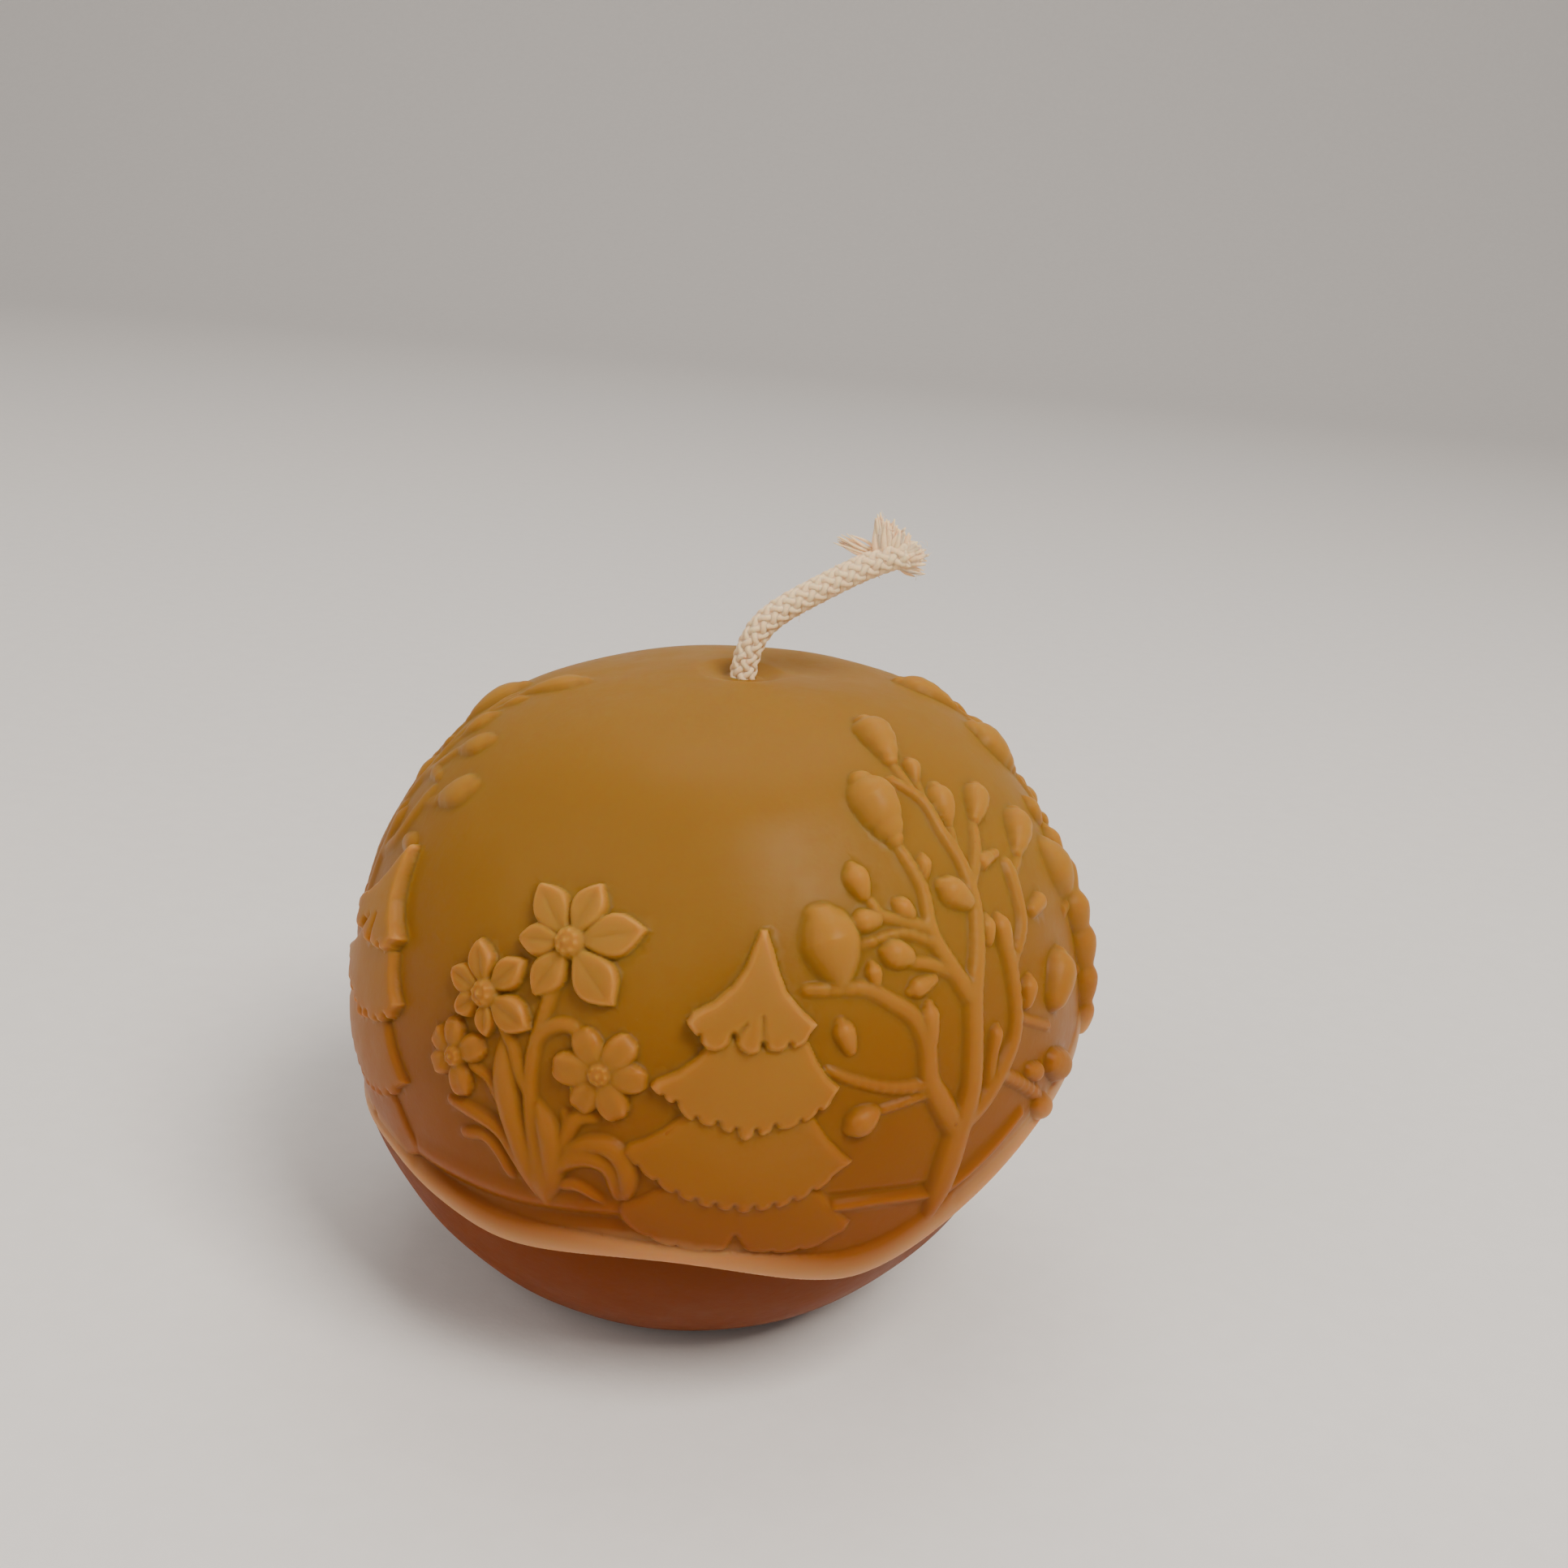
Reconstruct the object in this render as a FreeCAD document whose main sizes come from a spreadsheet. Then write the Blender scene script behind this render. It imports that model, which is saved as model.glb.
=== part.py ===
"""Cast beeswax ball candle with a winter relief and a braided cotton wick.

The part frame has its origin at the middle of the flat base, with +Z up and -Y towards the front of
the relief. Longitude runs from the front (-Y) towards +X, and latitude from the ball's equator up.
"""

import FreeCAD, Part

import math
import os

from FreeCAD import Placement, Rotation, Vector

os.makedirs("parts", exist_ok=True)

# Driving dimensions, in millimetres and degrees.
DIMENSIONS = {
    "ball_radius": 35.0,
    "foot_radius": 33.6,
    "centre_height": 30.0,
    "crown_radius": 80.0,
    "crown_height": 31.2,
    "dimple_radius": 5.0,
    "dimple_depth": 1.0,
    "lip_drop": 13.0,
    "hill_slope": 36.0,
    "hill_start": 17.3,
    "bank_relief": 1.0,
    "bank_width": 3.0,
    "tree_relief": 0.8,
    "tier_step": 0.2,
    "petal_relief": 1.0,
    "wick_radius": 1.3,
    "base_skin": 1.0,
}

SHEET = "dimensions"
STOCK = 90.0          # side of the blocks that trim the ball
INNER = 25.0          # radius where the radial prisms start, well inside the ball
OUTER = 45.0          # radius where they end, well outside it
SLIMMER = 0.96        # start of a strung cone over the end of the one before

doc = FreeCAD.newDocument("ball_candle")
sheet = doc.addObject("Spreadsheet::Sheet", SHEET)
for row, (alias, value) in enumerate(DIMENSIONS.items(), start=1):
    sheet.set(f"A{row}", alias)
    sheet.set(f"B{row}", str(value))
    sheet.setAlias(f"B{row}", alias)
doc.recompute()


def size(alias):
    """The value that the sheet holds for an alias."""
    return float(sheet.get(alias))


def bind(thing, **expressions):
    """Ties properties of a document object to expressions on the sheet."""
    for prop, text in expressions.items():
        thing.setExpression(prop.replace("__", "."), text.replace("#", SHEET + "."))


def primitive(kind, name, **expressions):
    thing = doc.addObject("Part::" + kind, name)
    bind(thing, **expressions)
    return thing


def boolean(kind, name, base, tool):
    thing = doc.addObject("Part::" + kind, name)
    thing.Base = base
    thing.Tool = tool
    return thing


# ---------------------------------------------------------------- the ball and its snow bank

def trimming_block(name, tilted, above):
    """A block whose working face is the lip's level plane or, tilted, the hill's plane.

    A block below the face trims what lies under the lip. A block above it starts one bank width
    higher and trims the bank's top.
    """
    block = primitive("Box", name)
    block.Length = STOCK
    block.Width = STOCK
    block.Height = STOCK
    block.Placement = Placement(Vector(0, -STOCK / 2, 0), Rotation(Vector(0, 1, 0), -1))
    start = "#hill_start" if tilted else "0"
    rise = "#bank_width" if above else f"(0 - {STOCK})"
    lean = "(#hill_slope * 1 deg)" if tilted else "(0 deg)"
    bind(
        block,
        Placement__Rotation__Angle=f"0 deg - {lean}",
        Placement__Base__x=f"{start} - {STOCK / 2} * cos({lean}) - {rise} * sin({lean})",
        Placement__Base__z=(
            f"#centre_height - #lip_drop - {STOCK / 2} * sin({lean}) + {rise} * cos({lean})"
        ),
    )
    return block


under_level = trimming_block("under_level", tilted=False, above=False)
under_hill = trimming_block("under_hill", tilted=True, above=False)
over_level = trimming_block("over_level", tilted=False, above=True)
over_hill = trimming_block("over_hill", tilted=True, above=True)

upper_sphere = primitive(
    "Sphere", "upper_sphere",
    Radius="#ball_radius",
    Placement__Base__z="#centre_height",
)
foot_sphere = primitive(
    "Sphere", "foot_sphere",
    Radius="#foot_radius",
    Angle1="-asin(#centre_height / #foot_radius)",
    Angle2="20 deg",
    Placement__Base__z="#centre_height",
)
crown_sphere = primitive(
    "Sphere", "crown_sphere",
    Radius="#crown_radius",
    Placement__Base__z="#centre_height + #crown_height - #crown_radius",
)
dimple_sphere = primitive(
    "Sphere", "dimple_sphere",
    Radius="(#dimple_radius ^ 2 + #dimple_depth ^ 2) / (2 * #dimple_depth)",
    Placement__Base__z=(
        "#centre_height + #crown_height - #dimple_depth"
        " + (#dimple_radius ^ 2 + #dimple_depth ^ 2) / (2 * #dimple_depth)"
    ),
)
channel = primitive(
    "Cylinder", "wick_channel",
    Radius="#wick_radius",
    Height="3 * #ball_radius",
    Placement__Base__z="#base_skin",
)

round_ball = boolean("Common", "round_ball", upper_sphere, crown_sphere)
over_lip = boolean("Cut", "ball_over_level", upper_sphere, under_level)
over_lip = boolean("Cut", "ball_over_lip", over_lip, under_hill)
whole_ball = boolean("Fuse", "ball_with_foot", over_lip, foot_sphere)
crowned_ball = boolean("Common", "crowned_ball", whole_ball, crown_sphere)
dimpled_ball = boolean("Cut", "dimpled_ball", crowned_ball, dimple_sphere)
wax_ball = boolean("Cut", "wax_ball", dimpled_ball, channel)

bank_sphere = primitive(
    "Sphere", "bank_sphere",
    Radius="#ball_radius + #bank_relief",
    Placement__Base__z="#centre_height",
)
above_bank = boolean("Common", "above_bank", over_level, over_hill)
bank = boolean("Cut", "bank_over_level", bank_sphere, under_level)
bank = boolean("Cut", "bank_over_lip", bank, under_hill)
bank = boolean("Cut", "bank_trimmed", bank, above_bank)
snow_bank = boolean("Cut", "snow_bank", bank, dimpled_ball)
doc.recompute()


# ---------------------------------------------------------------- shapes that lie on the ball

CENTRE = Vector(0, 0, size("centre_height"))


def direction(lon, lat):
    lon = math.radians(lon)
    lat = math.radians(lat)
    return Vector(math.cos(lat) * math.sin(lon), -math.cos(lat) * math.cos(lon), math.sin(lat))


def surface_radius(lat):
    """Distance from the ball's centre to its surface, on the sphere or on the flatter crown."""
    crown = size("crown_radius")
    below = crown - size("crown_height")
    rise = math.sin(math.radians(lat))
    reach = -below * rise + math.sqrt((below * rise) ** 2 + crown ** 2 - below ** 2)
    return min(size("ball_radius"), reach)


def on_ball(lon, lat):
    return CENTRE + direction(lon, lat) * surface_radius(lat)


def round_cone(start, start_radius, end, end_radius):
    """The smooth hull of two balls: two spherical caps and the cone that touches both."""
    axis = end - start
    length = axis.Length
    lean = math.asin((start_radius - end_radius) / length)
    sink = math.sin(lean)
    spread = math.cos(lean)
    half = math.radians(45) + lean / 2
    first = Part.Arc(
        Vector(-start_radius, 0, 0),
        Vector(-start_radius * math.cos(half), start_radius * math.sin(half), 0),
        Vector(start_radius * sink, start_radius * spread, 0),
    )
    rest = math.radians(45) - lean / 2
    last = Part.Arc(
        Vector(length + end_radius * sink, end_radius * spread, 0),
        Vector(length + end_radius * math.cos(rest), end_radius * math.sin(rest), 0),
        Vector(length + end_radius, 0, 0),
    )
    edges = [
        first.toShape(),
        Part.LineSegment(first.EndPoint, last.StartPoint).toShape(),
        last.toShape(),
        Part.LineSegment(last.EndPoint, first.StartPoint).toShape(),
    ]
    solid = Part.Face(Part.Wire(edges)).revolve(Vector(0, 0, 0), Vector(1, 0, 0), 360)
    solid.Placement = Placement(start, Rotation(Vector(1, 0, 0), axis))
    return solid


def knob(lon, lat, radius):
    """A small ball centred on the surface, its axis pointing outwards."""
    return Part.makeSphere(radius, on_ball(lon, lat), direction(lon, lat))


def string(stops):
    """Round cones strung along stops of (point, radius). Each starts a little thinner than the end
    of the one before, so that no two end caps share a surface."""
    solids = []
    for (start, start_radius), (end, end_radius) in zip(stops, stops[1:]):
        solids.append(round_cone(start, start_radius * SLIMMER, end, end_radius))
    return solids


def chain(stops):
    """Round cones along the surface through stops of (lon, lat, radius)."""
    return string([(on_ball(lon, lat), radius) for lon, lat, radius in stops])


def plate(outline, relief):
    """A raised patch: the radial prism of an outline of (lon, lat), up to a sphere over the ball."""
    middle = Vector(0, 0, 0)
    for lon, lat in outline:
        middle = middle + direction(lon, lat)
    normal = middle.normalize()
    wires = []
    for radius in (INNER, OUTER):
        points = []
        for lon, lat in outline:
            ray = direction(lon, lat)
            points.append(CENTRE + ray * (radius / ray.dot(normal)))
        wires.append(Part.makePolygon(points + points[:1]))
    prism = Part.makeLoft(wires, True, True)
    return prism.common(Part.makeSphere(size("ball_radius") + relief, CENTRE))


def local_outline(lon, lat, points):
    """Turns points in millimetres round (lon, lat), x east and y north, into (lon, lat)."""
    degree = math.radians(size("ball_radius"))
    outline = []
    for east, north in points:
        point_lat = lat + north / degree
        outline.append((lon + east / degree / math.cos(math.radians(point_lat)), point_lat))
    return outline


# ---------------------------------------------------------------- motifs

# Tiers of a fir tree from the top: latitude of the top edge, its half width, the latitude of the
# side tips, their half width, how far the hem hangs below the tips, and its number of lobes. Half
# widths are in degrees of longitude.
FIR_TIERS = [
    (30.0, 0.5, 18.0, 8.6, 3.4, 7),
    (19.0, 4.5, 9.0, 12.2, 4.6, 9),
    (8.0, 7.5, -1.0, 15.0, 7.0, 10),
    (-3.0, 9.5, -10.0, 15.5, 5.0, 9),
]
LOBE_STEPS = 4
LOBE_DEPTH = 0.9


def fir_tier(lon, tier):
    top_lat, top_half, tip_lat, tip_half, hang, lobes = tier
    hem = []
    steps = lobes * LOBE_STEPS
    for step in range(steps + 1):
        across = 2 * step / steps - 1
        lobe = abs(math.sin(math.pi * lobes * step / steps))
        hem.append((lon + across * tip_half, tip_lat - hang * (1 - across ** 2) - LOBE_DEPTH * lobe))
    return hem + [(lon + top_half, top_lat), (lon - top_half, top_lat)]


def fir_tree(lon):
    """Four overlapping tiers, the upper ones standing further out."""
    tree = None
    for number, tier in enumerate(FIR_TIERS):
        steps_up = len(FIR_TIERS) - 1 - number
        patch = plate(fir_tier(lon, tier), size("tree_relief") + steps_up * size("tier_step"))
        tree = patch if tree is None else tree.fuse(patch)
    return tree


def petal(lon, lat, heading, length, width):
    """A pointed petal, as a vesica outline."""
    steps = 5
    side = [width / 2 * math.sin(math.pi * step / steps) for step in range(steps + 1)]
    heading = math.radians(heading)
    points = []
    loop = [(step, 1) for step in range(steps + 1)] + [(step, -1) for step in range(steps - 1, 0, -1)]
    for step, hand in loop:
        along = length * (0.1 + 0.9 * step / steps)
        across = hand * side[step]
        points.append((
            along * math.cos(heading) - across * math.sin(heading),
            along * math.sin(heading) + across * math.cos(heading),
        ))
    return plate(local_outline(lon, lat, points), size("petal_relief"))


# Radii of the small balls that make the flowers' hearts and the round petals.
POINTED_HEART = 1.6
ROUND_HEART = 1.4
ROUND_PETAL = 1.2
PETAL_SLIMNESS = 0.58     # width of a pointed petal over its length


def pointed_flower(lon, lat, length, turn):
    petals = 6
    width = PETAL_SLIMNESS * length
    solids = [petal(lon, lat, turn + 360 / petals * k, length, width) for k in range(petals)]
    return solids + [knob(lon, lat, POINTED_HEART)]


def round_flower(lon, lat, petals, reach, turn):
    ring = []
    for k in range(petals):
        heading = math.radians(turn + 360 / petals * k)
        ring.append((reach * math.cos(heading), reach * math.sin(heading)))
    centres = local_outline(lon, lat, ring)
    solids = [knob(petal_lon, petal_lat, ROUND_PETAL) for petal_lon, petal_lat in centres]
    return solids + [knob(lon, lat, ROUND_HEART)]


# Stems and leaves of the flower group: stops of (lon, lat, radius).
STEMS = [
    [(-22.0, -12.0, 0.85), (-22.5, -4.0, 0.75), (-24.0, 5.0, 0.65), (-24.9, 14.0, 0.6),
     (-23.6, 20.0, 0.7)],
    [(-25.3, -8.0, 0.6), (-26.5, 0.0, 0.6), (-28.0, 7.0, 0.55), (-31.0, 12.0, 0.5)],
    [(-24.6, 11.5, 0.4), (-22.5, 14.0, 0.42), (-19.5, 14.3, 0.4), (-17.8, 13.0, 0.35)],
    [(-28.2, -3.0, 0.4), (-31.0, 3.0, 0.35), (-35.0, 4.5, 0.35)],
]
LEAVES = [
    [(-26.0, -5.0, 0.5), (-28.5, 1.0, 0.9), (-29.8, 6.0, 0.8), (-30.3, 9.5, 0.35)],
    [(-20.5, -4.0, 0.4), (-21.5, 0.0, 0.8), (-23.0, 3.5, 0.5)],
    [(-19.6, -3.0, 0.4), (-18.3, 1.5, 0.5), (-15.5, 2.8, 0.4)],
    [(-19.5, -6.0, 0.5), (-16.5, -3.0, 0.7), (-13.0, -2.2, 0.9), (-11.0, -4.5, 0.8), (-10.7, -8.5, 0.4)],
    [(-26.5, -6.0, 0.4), (-29.0, -3.2, 0.7), (-33.0, -1.8, 0.7), (-38.5, -2.5, 0.4)],
    [(-27.0, -9.5, 0.4), (-30.0, -6.5, 0.6), (-33.0, -5.7, 0.5), (-36.5, -7.5, 0.35)],
    [(-19.5, -9.3, 0.35), (-16.5, -8.4, 0.4), (-13.5, -8.9, 0.3)],
]

# The berry bush: its wood and its buds, each bud from its stalk to its tip.
BRANCHES = [
    [(35.5, -15.0, 1.3), (36.0, -5.0, 1.15), (37.0, 0.0, 1.05), (39.0, 6.0, 0.9), (39.5, 12.0, 0.85),
     (40.2, 19.0, 0.8), (42.5, 25.0, 0.7), (44.3, 31.0, 0.65), (44.5, 37.0, 0.55), (43.0, 42.0, 0.5),
     (42.0, 47.0, 0.45), (37.0, 51.0, 0.4)],
    [(36.8, 0.5, 0.9), (33.5, 5.5, 0.85), (31.5, 9.0, 0.75), (31.0, 14.0, 0.7), (29.0, 18.0, 0.6),
     (25.5, 20.5, 0.55), (21.0, 22.6, 0.5), (13.0, 22.6, 0.42)],
    [(40.0, 18.5, 0.75), (36.5, 24.0, 0.65), (34.2, 29.0, 0.55), (34.3, 35.0, 0.5), (32.0, 41.0, 0.45)],
    [(34.3, 29.3, 0.5), (29.0, 31.0, 0.4), (25.5, 32.0, 0.35), (24.0, 34.0, 0.35)],
    [(35.2, 27.0, 0.4), (29.0, 29.3, 0.35), (21.5, 28.3, 0.3)],
    [(37.3, 22.7, 0.5), (33.0, 24.5, 0.45), (29.5, 25.3, 0.4)],
    [(31.6, 8.4, 0.5), (25.5, 8.8, 0.42), (20.0, 10.3, 0.36), (16.0, 12.0, 0.3)],
    [(32.0, 7.4, 0.4), (28.0, 6.6, 0.33), (23.5, 5.8, 0.3)],
    [(38.0, 1.5, 0.8), (42.0, 4.0, 0.75), (46.0, 8.0, 0.7), (48.8, 12.5, 0.65), (49.3, 20.0, 0.65),
     (49.0, 26.0, 0.75)],
    [(42.6, 5.0, 0.5), (43.8, 12.0, 0.6)],
    [(45.2, 6.8, 0.5), (50.0, 4.0, 0.5), (56.0, 0.0, 0.5)],
    [(49.2, 14.0, 0.35), (58.0, 10.0, 0.35)],
    [(49.2, 21.0, 0.45), (54.5, 25.5, 0.55), (56.0, 30.0, 0.6), (56.7, 34.5, 0.6)],
    [(44.6, 33.5, 0.45), (49.0, 37.5, 0.5), (52.5, 41.5, 0.4)],
    [(56.5, 32.5, 0.35), (61.5, 34.5, 0.4)],
    [(44.2, 38.5, 0.35), (45.6, 42.0, 0.35)],
    [(42.2, 46.5, 0.3), (43.5, 50.5, 0.3)],
    [(40.8, 48.2, 0.35), (39.8, 53.0, 0.4)],
]
BUDS = [
    (39.8, 54.5, 0.8, 43.5, 61.5, 1.7),
    (31.5, 42.5, 0.9, 29.4, 49.5, 2.1),
    (22.8, 35.2, 0.7, 22.0, 37.8, 1.1),
    (18.2, 25.5, 1.2, 17.0, 30.5, 2.1),
    (24.3, 31.5, 0.7, 21.8, 31.4, 0.95),
    (28.7, 26.2, 0.9, 26.5, 26.8, 1.2),
    (23.4, 22.9, 0.4, 23.0, 25.0, 0.7),
    (33.0, 22.5, 0.5, 29.5, 21.6, 0.8),
    (19.0, 14.8, 0.6, 18.0, 17.5, 0.9),
    (22.5, 5.5, 0.8, 20.6, 4.3, 1.25),
    (31.5, 14.5, 0.8, 31.7, 18.5, 0.9),
    (30.8, 31.8, 0.6, 29.3, 33.0, 0.85),
    (35.5, 36.5, 0.4, 36.2, 38.6, 0.7),
    (42.5, 32.0, 0.9, 39.5, 34.0, 1.3),
    (43.6, 50.8, 0.5, 45.0, 53.0, 0.8),
    (45.8, 43.3, 0.6, 47.0, 47.3, 1.3),
    (54.0, 42.5, 0.7, 59.5, 45.6, 1.3),
    (62.0, 35.5, 0.7, 68.5, 39.0, 1.6),
    (50.0, 36.5, 0.8, 55.0, 36.8, 0.5),
    (45.5, 26.0, 0.6, 46.0, 28.2, 0.8),
    (49.0, 25.0, 0.9, 49.0, 27.5, 1.0),
    (59.5, 27.0, 0.7, 63.0, 27.6, 0.9),
    (52.0, 15.5, 0.7, 53.0, 17.8, 0.95),
    (60.5, 14.0, 1.5, 63.5, 17.2, 1.9),
    (43.6, 11.0, 0.6, 44.3, 13.2, 0.7),
    (52.5, 5.0, 0.7, 54.8, 4.0, 0.9),
    (59.5, 4.0, 1.2, 63.0, 2.0, 1.5),
    (56.0, -1.5, 0.8, 58.5, -3.0, 1.2),
]

# Extra buds of the bush on the far right, one above the other below its largest bud.
EXTRA_BUDS = [
    (18.5, 7.5, 0.9, 18.5, 10.5, 1.2),
    (21.0, 13.5, 1.0, 20.8, 16.5, 1.5),
    (19.4, 19.0, 1.1, 18.8, 22.2, 1.6),
    (22.8, 24.6, 1.0, 22.6, 27.6, 1.4),
]

# Beside some bushes a fir tree covers what would grow east of this longitude, below this latitude.
COVERED_LON = 50.0
COVERED_LAT = 24.0


def is_covered(lon, lat):
    return lon > COVERED_LON and lat < COVERED_LAT


def bush_wood(beside_tree):
    solids = []
    for stops in BRANCHES:
        if not (beside_tree and is_covered(stops[-1][0], stops[-1][1])):
            solids += chain(stops)
    return solids


def bush_buds(beside_tree, extra):
    solids = []
    for lon1, lat1, r1, lon2, lat2, r2 in BUDS + extra:
        if not (beside_tree and is_covered(lon2, lat2)):
            solids.append(round_cone(on_ball(lon1, lat1), r1, on_ball(lon2, lat2), r2))
    return solids


# ---------------------------------------------------------------- relief nodes

subparts = [wax_ball, snow_bank]
trims = [snow_bank.Shape, under_level.Shape, under_hill.Shape]


def joined(solids):
    return solids[0].multiFuse(solids[1:]) if len(solids) > 1 else solids[0]


def blank(solids, beside=()):
    """One motif at its first place: its solids fused, less the ball and the motifs beside it."""
    shape = joined(solids).cut(round_ball.Shape)
    for other in beside:
        shape = shape.cut(other)
    return shape


def add_relief(name, motif, turn, beside=()):
    """Adds a copy of a motif turned about the ball's axis, clear of the bank and of its neighbours."""
    shape = motif.copy()
    shape.rotate(CENTRE, Vector(0, 0, 1), turn)
    for other in trims + list(beside):
        if shape.BoundBox.intersect(other.BoundBox):
            shape = shape.cut(other)
    node = doc.addObject("Part::Feature", name)
    node.Shape = Part.makeCompound(shape.Solids)
    node.Placement = Placement()
    subparts.append(node)
    return node.Shape


# Longitudes of the fir trees' tops.
TREES = {
    "fir_tree_front": 6.2,
    "fir_tree_left": -60.0,
    "fir_tree_rear_right": 124.0,
    "fir_tree_rear_left": -174.0,
}
tree = blank([fir_tree(0)])
trees = {name: add_relief(name, tree, lon) for name, lon in TREES.items()}

large_flower = blank(pointed_flower(-22.3, 25.5, 5.8, 17))
left_flower = blank(pointed_flower(-33.6, 15.6, 4.8, 52), [large_flower])
round_bloom = blank(round_flower(-14.5, 9.2, 6, 2.3, 0))
small_bloom = blank(round_flower(-37.3, 5.4, 5, 1.9, 35), [left_flower])
blooms = [large_flower, left_flower, round_bloom, small_bloom]
stems = blank([solid for stops in STEMS for solid in chain(stops)], blooms)
leaves = blank([solid for stops in LEAVES for solid in chain(stops)], [stems] + blooms)

# Each flower group: its turn about the axis and the fir trees that its leaves touch.
FLOWER_GROUPS = {
    "front": (0.0, ["fir_tree_front"]),
    "rear_right": (180.0, ["fir_tree_rear_left"]),
    "rear_left": (244.0, []),
}
for group, (turn, tree_names) in FLOWER_GROUPS.items():
    add_relief(group + "_flower_large", large_flower, turn)
    add_relief(group + "_flower_left", left_flower, turn)
    add_relief(group + "_flower_round", round_bloom, turn)
    add_relief(group + "_flower_small", small_bloom, turn)
    add_relief(group + "_flower_stems", stems, turn)
    add_relief(group + "_flower_leaves", leaves, turn, [trees[name] for name in tree_names])

# Each bush: its turn, whether a fir tree covers its east side, its extra buds, and the fir tree
# that touches it.
BUSHES = {
    "bush_right": (0.0, False, [], "fir_tree_front"),
    "bush_left": (-127.0, True, [], "fir_tree_left"),
    "bush_far_right": (62.0, True, EXTRA_BUDS, "fir_tree_rear_right"),
}
wood = {covered: blank(bush_wood(covered)) for covered in (False, True)}
for bush_name, (turn, beside_tree, extra, tree_name) in BUSHES.items():
    branches = wood[beside_tree]
    buds = blank(bush_buds(beside_tree, extra), [branches])
    add_relief(bush_name + "_branches", branches, turn, [trees[tree_name]])
    add_relief(bush_name + "_buds", buds, turn, [trees[tree_name]])


# ---------------------------------------------------------------- the wick

# Corners of the wick's line in the plane y = 0, as (x, height over the ball's centre).
WICK_CORNERS = [(0.0, 35.8), (11.2, 42.2)]
WICK_TIP = (13.8, 43.2)
ARC_SHARE = 0.45      # part of the shorter free run beside a corner that its arc takes


def wick_path():
    """Straight runs joined by tangent arcs, from the blind end of the channel to the cut end."""
    start = Vector(0, 0, size("base_skin"))
    foot = Vector(0, 0, CENTRE.z + size("crown_height"))
    corners = [Vector(x, 0, CENTRE.z + z) for x, z in WICK_CORNERS]
    tip = Vector(WICK_TIP[0], 0, CENTRE.z + WICK_TIP[1])
    points = [start] + corners + [tip]
    edges = []
    here = start
    for before, corner, after in zip(points, points[1:], points[2:]):
        free_start = foot if before == start else before
        reach = ARC_SHARE * min((corner - free_start).Length, (after - corner).Length)
        inward = (corner - before).normalize()
        outward = (after - corner).normalize()
        half_turn = inward.getAngle(outward) / 2
        radius = reach / math.tan(half_turn)
        print("wick arc radius", round(radius, 2), "mm")
        arc_start = corner - inward * reach
        arc_end = corner + outward * reach
        bisector = (outward - inward).normalize()
        middle = corner + bisector * (radius / math.cos(half_turn) - radius)
        edges.append(Part.LineSegment(here, arc_start).toShape())
        edges.append(Part.Arc(arc_start, middle, arc_end).toShape())
        here = arc_end
    edges.append(Part.LineSegment(here, tip).toShape())
    return Part.Wire(edges)


path = wick_path()
section = Part.Wire(Part.makeCircle(size("wick_radius"), Vector(0, 0, size("base_skin"))))
wick_solid = path.makePipeShell([section], True, True)
expected = math.pi * size("wick_radius") ** 2 * path.Length
print("wick length", round(path.Length, 1), "mm, volume ratio", round(wick_solid.Volume / expected, 4))

wick = doc.addObject("Part::Feature", "wick")
wick.Shape = wick_solid
wick.Placement = Placement()
subparts.append(wick)

# The plies come apart at the cut end: each bundle from its root to its tip, as
# (x, y, height over the centre, radius).
FRAYS = {
    "wick_fray_upper": [(12.8, 0.0, 43.7, 1.0), (12.0, 0.2, 44.9, 0.9), (11.0, 0.3, 46.2, 0.35)],
    "wick_fray_end": [(13.8, -0.1, 43.4, 1.1), (14.8, -0.2, 43.6, 0.7)],
    "wick_fray_lower": [(13.7, 0.0, 42.5, 0.6), (15.3, 0.1, 41.6, 0.25)],
}
loose_ends = [wick.Shape]
for fray_name, stops in FRAYS.items():
    bundle = joined(string([(CENTRE + Vector(x, y, z), radius) for x, y, z, radius in stops]))
    bundle = bundle.cut(loose_ends)
    node = doc.addObject("Part::Feature", fray_name)
    node.Shape = Part.makeCompound(bundle.Solids)
    node.Placement = Placement()
    loose_ends.append(node.Shape)
    subparts.append(node)


# ---------------------------------------------------------------- checks and files

doc.recompute()
for thing in doc.Objects:
    if "Invalid" in thing.State or "Error" in thing.State:
        raise RuntimeError(f"{thing.Name} did not compute: {thing.State}")
for node in subparts:
    node.Label = node.Name
    shape = node.Shape
    if shape.isNull() or not shape.isValid() or shape.Volume <= 0:
        raise RuntimeError(f"{node.Name} has no valid solid")
    shape.exportStep(f"parts/{node.Label}.step")
    box = shape.BoundBox
    print(
        f"{node.Label:28s} solids {len(shape.Solids):3d} faces {len(shape.Faces):4d}"
        f" volume {shape.Volume:9.1f} z {box.ZMin:6.2f} to {box.ZMax:6.2f}"
    )
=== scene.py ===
"""Looks of the cast beeswax ball candle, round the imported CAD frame.

Lengths are in millimetres until the meshes are made, and places on the ball are given as
(longitude, latitude) in degrees: longitude from the front (-Y) towards +X, latitude from the ball's
equator up. The relief is one height field over the ball, because light has to scatter through the
casting as one body of wax.
"""

import math

import bpy
import numpy as np
from mathutils import Matrix, Vector


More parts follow.
